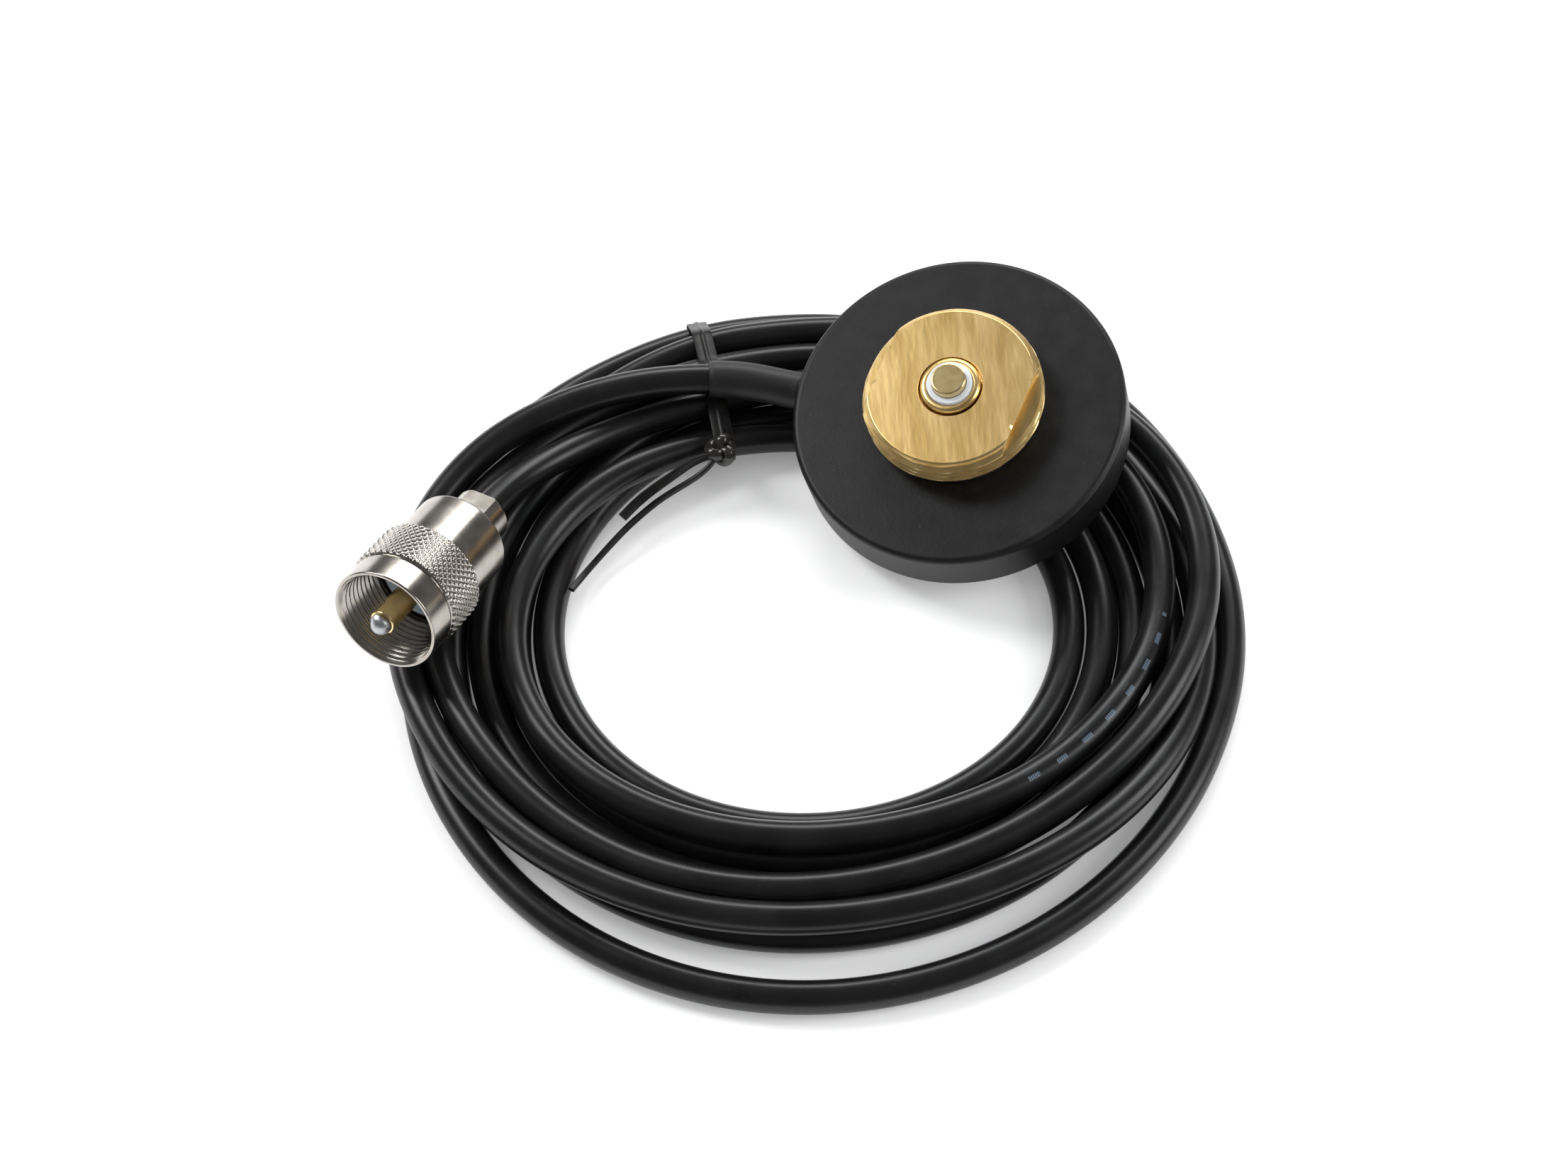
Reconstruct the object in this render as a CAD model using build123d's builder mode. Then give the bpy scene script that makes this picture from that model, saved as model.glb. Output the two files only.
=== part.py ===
from build123d import *
import os

# Magnetic antenna mount base with a coiled coaxial lead and a UHF male plug.
#
# Units are millimetres, +Z is up. The coil lies on z = 0 and the origin is the middle of the
# assembly's footprint. The base, the plug and the tie each have a tilted plane of their own.
# Names end in _R for a radius from the piece's axis, _H for a height above the cup's foot,
# _L for a length back from the plug nut's mouth, and _T for a thickness.

os.makedirs("parts", exist_ok=True)

# ---------------------------------------------------------------- driving dimensions
GAP = 0.05                         # usual clearance between neighbouring pieces
PLAY = 0.02                        # finer clearance, between stacked or butted faces

# steel cup of the magnetic base
CUP_R, CUP_H, CUP_WALL, CUP_TOP_T = 26.5, 8.6, 1.2, 1.2
CUP_EDGE_R, CUP_FOOT_EDGE_R = 1.0, 0.35
PAD_R, PAD_BELOW, PAD_TOP, PAD_CHAMFER = 24.9, 0.15, 0.5, 0.06
MAGNET_IN_R, MAGNET_OUT_R = 13.6, 24.9
MAGNET_LOW_H, MAGNET_TOP_H, YOKE_TOP_H = 0.6, 5.6, 7.3
SLOT_W = 7.2                       # slot in magnet and yoke for the lead
# threaded antenna mount, 1-1/8 inch by 18 threads per inch
THREAD_R, THREAD_PITCH, THREAD_DEPTH = 14.2875, 1.411, 0.75
FACE_H = CUP_H + 7.4               # top face of the mount body
SEAT_H = CUP_H + 0.5               # underside of the mount body, on its gasket
SHANK_R, SHANK_HOLE_R, SHANK_LOW_H = 9.0, 9.2, 5.7
FLAT_D, FLAT_H = 11.8, FACE_H - 2.0
FLAT_TURN = -6.7                   # degrees from the lead's direction
# stepped bore of the mount body, from the top face down
RECESS_R, RECESS_H = 5.05, FACE_H - 2.4
COLLAR_BORE_R, COLLAR_SEAT_H = 4.80, FACE_H - 4.0
INSULATOR_BORE_R, INSULATOR_SEAT_H = 4.55, FACE_H - 7.1
BORE_R = 3.65
CONTACT_R, CONTACT_TOP_H, CONTACT_LOW_H, CONTACT_STEM_R = 2.7, FACE_H + 2.6, 5.0, 1.3
# lead, 50 ohm coaxial cable of 4.95 mm
JACKET_R, BRAID_R, DIEL_R, CORE_R = 2.475, 1.80, 1.475, 0.45
BRAID_IN_R, DIEL_IN_R = 1.50, 0.47
LEAD_H = CUP_H - 5.0               # height of the lead in the cup
CORE_START = -0.5                  # the lead's ends, measured out from the cup's axis
JACKET_START = 20.6
JACKET_END_L = 20.0                # end of the jacket in the plug
TUBE_R, TUBE_BORE_R = 2.95, 2.53
SLEEVE_R, SLEEVE_BORE_R = 3.05, 2.50
# UHF plug, 5/8 inch by 24 threads per inch
NUT_RING_R, NUT_KNURL_R, NUT_REAR_R = 8.5, 8.95, 7.75
NUT_RING_L, NUT_KNURL_L, NUT_L = 4.7, 12.7, 22.4
UHF_MINOR_R, UHF_MAJOR_R, UHF_PITCH, UHF_DEPTH_L = 7.45, 7.95, 1.058, 9.4
NUT_RELIEF_R, NUT_SHOULDER_L, NUT_BORE_R = 7.50, 19.2, 6.18
RELIEF_L = UHF_DEPTH_L + 0.6
BODY_FLANGE_R, BODY_R = 7.20, 6.10
# stepped bore of the plug body, from the mouth back
BODY_MOUTH_R, BODY_NECK_R, BODY_REAR_BORE_R = 6.50, 4.30, 4.85
BODY_NECK_L = 12.6
INSULATOR_FIT = 0.04
INSULATOR_FRONT_L = 10.4
PIN_R, PIN_BORE_R, PIN_TIP, PIN_REAR_L = 1.98, 0.50, 0.7, 15.5
REDUCER_R, REDUCER_END_L, REDUCER_FLAT = 4.55, 29.2, 3.95
# twist tie
TIE_W = 3.2

# ---------------------------------------------------------------- where things sit
# middle of the cup's foot, x out along the lead, z up the mount's axis
BASE = Plane(
    origin=(26.1321, 33.0264, 11.6380),
    x_dir=(-0.9369251, 0.3257018, -0.1268453),
    z_dir=(-0.2002989, -0.2028989, 0.9584948),
)
# middle of the nut's mouth, z forward out of the mouth
PLUG = Plane(
    origin=(-61.6111, -11.2570, 22.9611),
    x_dir=(0.9031869, -0.4292476, 0.0000000),
    z_dir=(-0.4128337, -0.8686500, 0.2738896),
)
# cross-section of the coil at the tie, x across the coil, y up
TIE = Plane(
    origin=(-17.2125, 59.5305, -0.0389),
    x_dir=(0.1824954, -0.9832067, 0.0000000),
    z_dir=(-0.9832067, -0.1824954, 0.0000000),
)

# centre line of the lead (x, y, z), from the cup's wall round the coil to the plug's rear end;
# every second row starts at a point that has a HEADING
LEAD_STEP = 6
LEAD = [
    (0.5825, 40.9271, 11.7272), (-8.1766, 42.3818, 12.5850), (-17.1208, 42.2938, 13.3139),
    (-26.0249, 41.1462, 13.3808), (-34.6827, 38.8275, 12.9007), (-42.8253, 35.1427, 12.1028),
    (-50.0751, 29.9684, 11.0730), (-55.8354, 23.2238, 9.7918), (-59.7883, 15.2635, 8.6318),
    (-61.7637, 6.5577, 7.8223), (-61.7080, -2.3994, 7.4323), (-59.8300, -11.1709, 7.5174),
    (-56.4187, -19.4714, 7.5203), (-51.7835, -27.1484, 7.1320), (-46.0398, -34.0446, 6.9854),
    (-39.3642, -40.0427, 7.1722), (-31.8396, -44.9297, 7.4111), (-23.6510, -48.6055, 7.5347),
    (-15.0177, -51.0647, 7.5756), (-6.1143, -52.2124, 7.5855), (2.8646, -52.1674, 7.5814),
    (11.7711, -51.0256, 7.5864), (20.4768, -48.8252, 7.5978), (28.8548, -45.5948, 7.5729),
    (36.7558, -41.3330, 7.4318), (43.9841, -36.0197, 7.1077), (50.3222, -29.6820, 6.6446),
    (55.4802, -22.3667, 6.0154), (59.2337, -14.2466, 5.3306), (61.3907, -5.5548, 4.7837),
    (62.0273, 3.3811, 4.2397), (61.2320, 12.3021, 3.6632), (58.9572, 20.9655, 3.0962),
    (55.3962, 29.1923, 2.6294), (50.6729, 36.8254, 2.5116), (44.9754, 43.7645, 2.5110),
    (38.3806, 49.8543, 2.5111), (30.8952, 54.8060, 2.5111), (22.7404, 58.5579, 2.5112),
    (14.1129, 61.0354, 2.5107), (5.2083, 62.1664, 2.5136), (-3.7655, 61.9488, 2.5476),
    (-12.6092, 60.4351, 2.8419), (-21.1615, 57.7071, 2.8368), (-29.2630, 53.8467, 2.5723),
    (-36.7745, 48.9307, 2.5102), (-43.4734, 42.9571, 2.5118), (-49.1121, 35.9744, 2.5109),
    (-53.6288, 28.2167, 2.5112), (-56.9520, 19.8777, 2.5111), (-59.0534, 11.1495, 2.5111),
    (-59.9427, 2.2158, 2.5111), (-59.6055, -6.7561, 2.5111), (-58.1213, -15.6113, 2.5111),
    (-55.4563, -24.1838, 2.5111), (-51.5500, -32.2659, 2.5111), (-46.5362, -39.7128, 2.5111),
    (-40.4826, -46.3405, 2.5111), (-33.4923, -51.9712, 2.5111), (-25.7192, -56.4596, 2.5111),
    (-17.3482, -59.6992, 2.5111), (-8.5821, -61.6309, 2.5111), (0.3740, -62.2403, 2.5111),
    (9.3247, -61.5506, 2.5111), (18.0904, -59.6116, 2.5111), (26.5087, -56.4912, 2.5111),
    (34.4322, -52.2692, 2.5111), (41.7280, -47.0363, 2.5111), (48.2769, -40.8942, 2.5111),
    (53.9739, -33.9545, 2.5111), (58.7323, -26.3405, 2.5111), (62.4628, -18.1733, 2.5110),
    (65.1676, -9.6116, 2.5116), (66.5996, -0.7508, 2.5091), (66.6820, 8.2251, 2.5187),
    (65.3386, 17.0989, 2.4951), (62.6398, 25.6445, 2.9606), (58.5772, 33.5884, 3.9127),
    (53.2242, 40.6739, 5.1970), (46.6050, 46.5840, 6.5046), (38.9212, 51.1198, 7.4280),
    (30.5355, 54.3109, 7.5525), (21.8051, 56.3942, 7.2679), (12.8962, 57.5050, 7.0454),
    (3.9185, 57.7410, 6.9385), (-5.0347, 57.0566, 6.7878), (-13.8565, 55.4027, 6.5452),
    (-22.2518, 52.3322, 5.8019), (-30.0170, 47.9502, 4.7623), (-36.9769, 42.3803, 3.7247),
    (-42.9784, 35.7648, 2.8449), (-47.8031, 28.2081, 2.5209), (-51.3005, 19.9425, 2.5096),
    (-53.4635, 11.2305, 2.5115), (-54.3898, 2.3006, 2.5110), (-53.9635, -6.6649, 2.5111),
    (-52.2498, -15.4773, 2.5111), (-49.1318, -23.8905, 2.5111), (-44.4794, -31.5600, 2.5111),
    (-38.4004, -38.1569, 2.5111), (-31.2774, -43.6182, 2.5111), (-23.3638, -47.8508, 2.5111),
    (-14.8672, -50.7434, 2.5111), (-6.0251, -52.2890, 2.5111), (2.9492, -52.4759, 2.5111),
    (11.8523, -51.3282, 2.5111), (20.4880, -48.8782, 2.5111), (28.6583, -45.1608, 2.5111),
    (36.1667, -40.2423, 2.5111), (42.8180, -34.2157, 2.5111), (48.4198, -27.2035, 2.5111),
    (52.8182, -19.3805, 2.5111), (55.7534, -10.9025, 2.5111), (57.1691, -2.0404, 2.5111),
    (57.0194, 6.9310, 2.5111), (55.3197, 15.7430, 2.5111), (52.1981, 24.1577, 2.5111),
    (47.8226, 31.9959, 2.5111), (42.3486, 39.1105, 2.5111), (35.8788, 45.3322, 2.5110),
    (28.4288, 50.3294, 2.5113), (20.1282, 53.7250, 2.5103), (11.2959, 55.2800, 2.5142),
    (2.3208, 55.1933, 2.5067), (-6.5438, 53.7871, 2.6758), (-15.1136, 51.1255, 2.8969),
    (-23.1272, 47.0941, 2.7227), (-30.3620, 41.7869, 2.5102), (-36.7191, 35.4501, 2.5863),
    (-41.9777, 28.1866, 2.9237), (-45.9243, 20.1415, 3.4079), (-48.4214, 11.5318, 3.8055),
    (-49.4879, 2.6208, 3.9064), (-48.9968, -6.3344, 3.7120), (-46.7439, -15.0092, 3.3665),
    (-42.7690, -23.0387, 2.9542), (-37.2377, -30.0900, 2.5966), (-30.3914, -35.8836, 2.4937),
    (-22.5624, -40.2664, 2.5158), (-14.0912, -43.2298, 2.5098), (-5.2472, -44.7557, 2.5114),
    (3.7282, -44.8762, 2.5110), (12.6027, -43.5438, 2.5111), (21.1540, -40.8140, 2.5111),
    (29.1721, -36.7825, 2.5111), (36.3682, -31.4231, 2.5111), (42.4744, -24.8492, 2.5111),
    (47.2054, -17.2287, 2.5111), (50.3490, -8.8267, 2.5111), (51.7849, 0.0273, 2.5111),
    (51.3958, 8.9878, 2.5111), (49.2025, 17.6853, 2.5111), (45.3424, 25.7829, 2.5111),
    (39.9800, 32.9741, 2.5111), (33.3582, 39.0285, 2.5111), (25.7586, 43.7993, 2.5110),
    (17.4458, 47.1798, 2.5113), (8.6644, 49.0177, 2.5109), (-0.3059, 49.2920, 2.5385),
    (-9.1471, 47.8276, 2.7958), (-17.4660, 44.4813, 2.8753), (-24.9976, 39.6115, 2.6083),
    (-31.6020, 33.5354, 2.5115), (-37.1046, 26.4468, 2.5125), (-41.2057, 18.4687, 2.5108),
    (-43.7480, 9.8634, 2.5112), (-44.6538, 0.9391, 2.5111), (-43.6336, -7.9675, 2.5111),
    (-40.6070, -16.4068, 2.5111), (-35.7618, -23.9503, 2.5111), (-29.3674, -30.2369, 2.5111),
    (-21.7773, -35.0134, 2.5111), (-13.3746, -38.1548, 2.5111), (-4.5397, -39.7293, 2.5111),
    (4.4324, -39.7313, 2.5111), (13.2638, -38.1382, 2.5112), (21.6822, -35.0338, 2.5107),
    (29.3927, -30.4462, 2.5127), (36.0824, -24.4708, 2.5084), (41.4011, -17.2526, 2.6646),
    (45.0337, -9.0631, 3.0270), (46.7340, -0.2659, 3.3251), (46.3773, 8.6905, 3.4735),
    (43.9892, 17.3314, 3.4084), (39.7167, 25.2097, 3.1583), (33.8055, 31.9423, 2.7993),
    (26.5757, 37.2410, 2.5424), (18.3931, 40.9129, 2.5095), (9.6359, 42.8543, 2.5094),
    (0.6673, 43.0337, 2.5469), (-8.1784, 41.5478, 2.7913), (-16.5890, 38.4397, 2.8813),
    (-24.1203, 33.5850, 2.5948), (-30.3771, 27.1621, 2.5144), (-35.1404, 19.5630, 2.5119),
    (-38.2574, 11.1525, 2.5109), (-39.4838, 2.2731, 2.5111), (-38.5035, -6.6342, 2.5111),
    (-35.3130, -15.0072, 2.5111), (-30.1161, -22.3074, 2.5111), (-23.2876, -28.1131, 2.5111),
    (-15.2924, -32.1698, 2.5111), (-6.6008, -34.3781, 2.5111), (2.3611, -34.7694, 2.5111),
    (11.2299, -33.4216, 2.5111), (19.6601, -30.3577, 2.5111), (27.2833, -25.6340, 2.5111),
    (33.6930, -19.3655, 2.5111), (38.4601, -11.7757, 2.5111), (41.1949, -3.2432, 2.5111),
    (41.6214, 5.7048, 2.5110), (39.6584, 14.4448, 2.5115), (35.4540, 22.3555, 2.5096),
    (29.3580, 28.9232, 2.5165), (21.8426, 33.8083, 2.4913), (13.4096, 36.8490, 2.5950),
    (4.5443, 38.0393, 3.2507), (-4.3411, 37.4418, 4.3145), (-12.9717, 35.3118, 5.5738),
    (-21.2391, 32.0046, 6.6957), (-28.8541, 27.3248, 7.4812), (-35.5196, 21.3279, 7.5297),
    (-40.6300, 13.9659, 7.4056), (-43.7884, 5.5812, 7.5463), (-44.6808, -3.3318, 7.5880),
    (-43.1444, -12.1560, 7.5292), (-39.3238, -20.2594, 7.5039), (-33.5798, -27.1389, 7.5338),
    (-26.3871, -32.4920, 7.5690), (-18.2290, -36.2215, 7.5567), (-9.5186, -38.3781, 7.5141),
    (-0.5700, -39.0758, 7.4957), (8.3847, -38.4408, 7.5275), (17.1632, -36.5611, 7.5833),
    (25.5928, -33.4743, 7.5608), (33.4677, -29.1724, 7.3496), (40.5548, -23.6680, 7.3006),
    (46.6397, -17.0761, 7.5546), (51.4587, -9.5119, 7.4739), (54.5861, -1.1103, 7.2709),
    (55.8493, 7.7658, 7.4446), (55.1330, 16.7013, 7.5762), (52.3812, 25.2329, 7.5454),
    (47.7552, 32.9134, 7.5764), (41.5828, 39.4195, 7.5858), (34.2764, 44.6237, 7.3410),
    (26.2401, 48.5923, 6.8733), (17.6467, 51.1540, 6.5412), (8.7406, 52.2755, 6.5072),
    (-0.2284, 52.0901, 6.7636), (-9.0510, 50.4765, 7.1639), (-17.6395, 47.8871, 7.5939),
    (-25.9227, 44.4201, 7.6349), (-33.7011, 39.9377, 7.5447), (-40.7801, 34.4191, 7.3983),
    (-46.9942, 27.9416, 7.5101), (-52.1308, 20.5858, 7.5096), (-55.6235, 12.3466, 7.0198),
    (-56.9096, 3.4803, 6.8989), (-56.0734, -5.4416, 7.1942), (-53.3815, -13.9900, 7.5538),
    (-49.1183, -21.8847, 7.5337), (-43.6346, -28.9782, 7.1102), (-37.1446, -35.1554, 6.5888),
    (-29.7241, -40.2002, 6.3996), (-21.6060, -44.0201, 6.5715), (-12.9400, -46.3430, 6.7710),
    (-4.0142, -47.2755, 6.9549), (4.9502, -46.8534, 7.1485), (13.7595, -45.1285, 7.2794),
    (22.2572, -42.2313, 7.3084), (30.3149, -38.2689, 7.2564), (37.8686, -33.4206, 7.5153),
    (44.7759, -27.7069, 8.0258), (50.8568, -21.1335, 8.6636), (55.9059, -13.7371, 9.2742),
    (59.7253, -5.6269, 9.6797), (61.9768, 3.0521, 9.9272), (62.3292, 12.0080, 10.1558),
    (60.5739, 20.7909, 10.4770), (56.6930, 28.8531, 10.9553), (50.9026, 35.6649, 11.5616),
    (43.6236, 40.8658, 12.1359), (35.3758, 44.3713, 12.4333), (26.6590, 46.3275, 11.6299),
    (17.8854, 47.2121, 9.9289), (9.0953, 47.3866, 8.0933), (0.2483, 46.5640, 6.8252),
    (-8.5308, 44.7103, 6.7423), (-16.9845, 41.7123, 7.2051), (-25.2430, 38.2030, 7.6143),
    (-32.9965, 33.7755, 8.5286), (-39.9096, 28.2485, 10.0078), (-45.5932, 21.6968, 12.2641),
    (-49.5564, 14.1076, 14.9635),
]
# direction of the lead (x, y, z) at every LEAD_STEP-th of those points
HEADING = [
    (-0.936925, 0.325702, -0.126845), (-0.733945, -0.666201, -0.132295),
    (0.451570, -0.891843, -0.026468), (0.979604, -0.200924, 0.002254),
    (0.845779, 0.532910, -0.025766), (-0.008790, 0.997973, -0.063026),
    (-0.785516, 0.618842, -0.000053), (-0.970985, -0.237577, 0.027292),
    (-0.438025, -0.898963, -0.000047), (0.365964, -0.930629, 0),
    (0.957515, -0.288384, 0), (0.849312, 0.527891, 0),
    (0.236519, 0.971627, -0.000144), (-0.666626, 0.729597, 0.152637),
    (-0.999679, -0.022734, -0.011155), (-0.608530, -0.790037, -0.074375),
    (0.263209, -0.964739, 0.000003), (0.968977, -0.247153, 0),
    (0.791548, 0.611107, 0), (-0.105921, 0.994375, 0),
    (-0.881206, 0.472733, 0.000002), (-0.850321, -0.524886, -0.038052),
    (-0.038684, -0.999214, -0.008680), (0.912828, -0.408343, -0.000831),
    (0.852284, 0.523079, 0), (-0.145789, 0.989316, 0),
    (-0.955474, 0.295077, 0.000035), (-0.678472, -0.734624, -0.001712),
    (0.441392, -0.897315, 0), (0.995783, 0.091740, -0.000007),
    (0.300358, 0.953050, 0.038472), (-0.864716, 0.502116, -0.012083),
    (-0.772381, -0.634851, -0.019773), (0.472495, -0.881334, 0),
    (0.969157, 0.246444, 0), (-0.086157, 0.996282, -0.000043),
    (-0.994797, 0.033319, 0.096276), (-0.466479, -0.884504, 0.007009),
    (0.862712, -0.505693, 0.001523), (0.911502, 0.410993, -0.015749),
    (0.032751, 0.999174, 0.024050), (-0.928890, 0.367085, -0.049112),
    (-0.897528, -0.440942, -0.003697), (-0.020517, -0.999692, 0.013932),
    (0.866871, -0.498512, 0.004428), (0.922822, 0.385150, -0.007676),
    (0.344301, 0.938244, 0.033978), (-0.872912, 0.483955, 0.061738),
    (-0.959768, -0.278073, 0.039007), (-0.412834, -0.868650, 0.273890),
]
# centre line of the heat-shrink sleeve, from the cup outwards, and its direction at the far end
SLEEVE_PATH = [
    (0.3002, 41.0228, 11.6931), (-2.2081, 41.6883, 11.6775), (-4.7531, 42.0993, 12.0031),
    (-7.3044, 42.3310, 12.4448), (-9.8749, 42.4495, 12.8140), (-12.4623, 42.4749, 13.0656),
    (-15.0562, 42.4091, 13.2277),
]
SLEEVE_END_HEADING = (-0.997888, -0.042410, 0.049205)
# outer and inner outline (x, y) of the tie's ribbon round the coil, in the TIE plane
TIE_OUTER = [
    (8.670, 0.040), (10.380, 0.050), (12.080, 0.050), (13.780, 0.060), (15.490, 0.060),
    (17.190, 0.070), (18.892, 0.070), (20.613, 0.133), (22.253, 0.690), (23.745, 1.546),
    (25.221, 2.400), (26.708, 3.377), (27.565, 4.980), (27.346, 6.812), (26.124, 8.168),
    (24.426, 8.692), (22.743, 9.035), (21.072, 9.365), (19.402, 9.695), (17.721, 10.027),
    (16.015, 10.209), (14.311, 10.339), (12.610, 10.469), (10.879, 10.590), (9.166, 10.326),
    (7.484, 10.036), (5.813, 9.746), (4.088, 9.434), (2.569, 8.564), (1.213, 7.503),
    (-0.127, 6.452), (-1.494, 5.368), (-2.555, 3.918), (-2.599, 2.084), (-1.569, 0.550),
    (0.141, 0.052), (1.860, 0.040), (3.560, 0.040), (5.270, 0.040), (6.970, 0.040),
]
TIE_INNER = [
    (8.670, 0.240), (10.380, 0.250), (12.080, 0.250), (13.780, 0.260), (15.490, 0.260),
    (17.190, 0.270), (18.888, 0.270), (20.567, 0.327), (22.162, 0.868), (23.645, 1.719),
    (25.117, 2.570), (26.561, 3.512), (27.369, 5.017), (27.164, 6.729), (26.017, 7.999),
    (24.377, 8.498), (22.704, 8.839), (21.034, 9.169), (19.364, 9.499), (17.691, 9.829),
    (15.996, 10.010), (14.295, 10.140), (12.595, 10.270), (10.887, 10.390), (9.199, 10.129),
    (7.518, 9.839), (5.848, 9.549), (4.156, 9.246), (2.681, 8.398), (1.337, 7.345),
    (-0.003, 6.295), (-1.350, 5.229), (-2.366, 3.853), (-2.407, 2.140), (-1.444, 0.705),
    (0.179, 0.248), (1.860, 0.240), (3.560, 0.240), (5.270, 0.240), (6.970, 0.240),
]
# centre lines (x, y, z) of the twisted stretch, the cut ribbon tail and the thin tail
TWIST = [
    (-12.276, 32.935, 7.711), (-12.345, 32.210, 8.561), (-12.565, 31.203, 9.461),
    (-13.107, 30.289, 9.961),
]
RIBBON = [
    (-13.913, 30.162, 9.961), (-16.532, 29.215, 8.961), (-19.920, 27.258, 8.161),
    (-23.302, 25.032, 7.161), (-26.101, 22.804, 6.361), (-28.529, 20.158, 5.761),
]
THIN = [
    (-13.125, 29.637, 8.858), (-14.622, 28.688, 8.344), (-18.824, 26.276, 6.261),
    (-22.779, 23.904, 5.261), (-25.572, 21.527, 4.661), (-27.782, 19.295, 4.261),
    (-30.522, 16.108, 3.661), (-33.225, 12.598, 3.161), (-36.191, 7.400, 3.961),
]
# sections of the knot: place along TWIST from 0 to 1, the ellipse's two radii
KNOT_SECTIONS = [(0, 0.75, 0.45), (0.33, 1.15, 1.0), (0.72, 2.1, 1.9), (1, 1.5, 1.4)]

# planes that hold each axis, for turned profiles (x = radius, y = height along the axis)
BASE_CUT = Plane(origin=BASE.origin, x_dir=BASE.x_dir, z_dir=-BASE.y_dir)
PLUG_CUT = Plane(origin=PLUG.origin, x_dir=PLUG.x_dir, z_dir=-PLUG.y_dir)
BASE_AXIS = Axis(BASE.origin, BASE.z_dir)
PLUG_AXIS = Axis(PLUG.origin, PLUG.z_dir)
# plane square to the lead where it crosses the cup's axis, facing out along the lead
OUT = Plane(origin=BASE.origin + BASE.z_dir * LEAD_H, x_dir=BASE.y_dir, z_dir=BASE.x_dir)


# ---------------------------------------------------------------- helpers
def save(piece, name):
    """Label the built part and write its STEP file."""
    piece.part.label = name
    export_step(piece.part, f"parts/{name}.step")


def turned(name, cut, axis, outline, rounds=()):
    """Piece turned from an outline; rounds holds (corner, radius) pairs."""
    with BuildPart() as piece:
        with BuildSketch(cut) as profile:
            with BuildLine():
                Polyline(*outline, close=True)
            make_face()
            for corner, radius in rounds:
                fillet(profile.vertices().sort_by_distance(corner)[0], radius)
        revolve(axis=axis)
    save(piece, name)


def tube(name, plane, outer_r, length, bore_r=0):
    """Round tube, or a solid rod where there is no bore, standing on the plane."""
    with BuildPart() as piece:
        with BuildSketch(plane):
            Circle(outer_r)
            if bore_r:
                Circle(bore_r, mode=Mode.SUBTRACT)
        extrude(amount=length)
    save(piece, name)


def slotted_ring(name, low, high):
    """Ring in the cup between two heights, slotted for the lead."""
    with BuildPart() as piece:
        with BuildSketch(BASE.offset(low)):
            Circle(MAGNET_OUT_R)
            Circle(MAGNET_IN_R, mode=Mode.SUBTRACT)
            with Locations((MAGNET_OUT_R - 5, 0)):
                Rectangle(20, SLOT_W, mode=Mode.SUBTRACT)
        extrude(amount=high - low)
    save(piece, name)


def groove(height, mouth_r, mouth_half, root_r, root_half):
    """Outline of one ring groove of a thread."""
    return [
        (mouth_r, height - mouth_half), (mouth_r, height + mouth_half),
        (root_r, height + root_half), (root_r, height - root_half),
    ]


def turned_plane(frame, height, turn):
    """Plane at a height on the frame's axis, turned about it by some degrees."""
    return Plane(frame.location * Location((0, 0, height), (0, 0, turn)))


def out(start):
    """Plane square to the lead inside the cup, that far out from the cup's axis."""
    return OUT.offset(start)


# ================================================================ magnetic base
with BuildPart() as base_shell:
    with BuildSketch(BASE_CUT) as profile:
        with BuildLine():
            Polyline(
                (SHANK_HOLE_R, CUP_H), (CUP_R, CUP_H), (CUP_R, 0), (CUP_R - CUP_WALL, 0),
                (CUP_R - CUP_WALL, CUP_H - CUP_TOP_T), (SHANK_HOLE_R, CUP_H - CUP_TOP_T),
                close=True,
            )
        make_face()
        fillet(profile.vertices().sort_by_distance((CUP_R, CUP_H))[0], CUP_EDGE_R)
        fillet(profile.vertices().sort_by_distance((CUP_R, 0))[0], CUP_FOOT_EDGE_R)
    revolve(axis=BASE_AXIS)
    # hole in the wall for the exit tube
    with BuildSketch(out(CUP_R - 5)):
        Circle(TUBE_R + GAP)
    extrude(amount=8, mode=Mode.SUBTRACT)
save(base_shell, "base_shell")

with BuildPart() as base_pad:
    with BuildSketch(BASE.offset(-PAD_BELOW)):
        Circle(PAD_R)
    extrude(amount=PAD_BELOW + PAD_TOP)
    chamfer(base_pad.edges().filter_by(GeomType.CIRCLE), PAD_CHAMFER)
save(base_pad, "base_pad")

slotted_ring("ring_magnet", MAGNET_LOW_H, MAGNET_TOP_H)
slotted_ring("magnet_yoke", MAGNET_TOP_H + GAP, YOKE_TOP_H)

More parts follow.
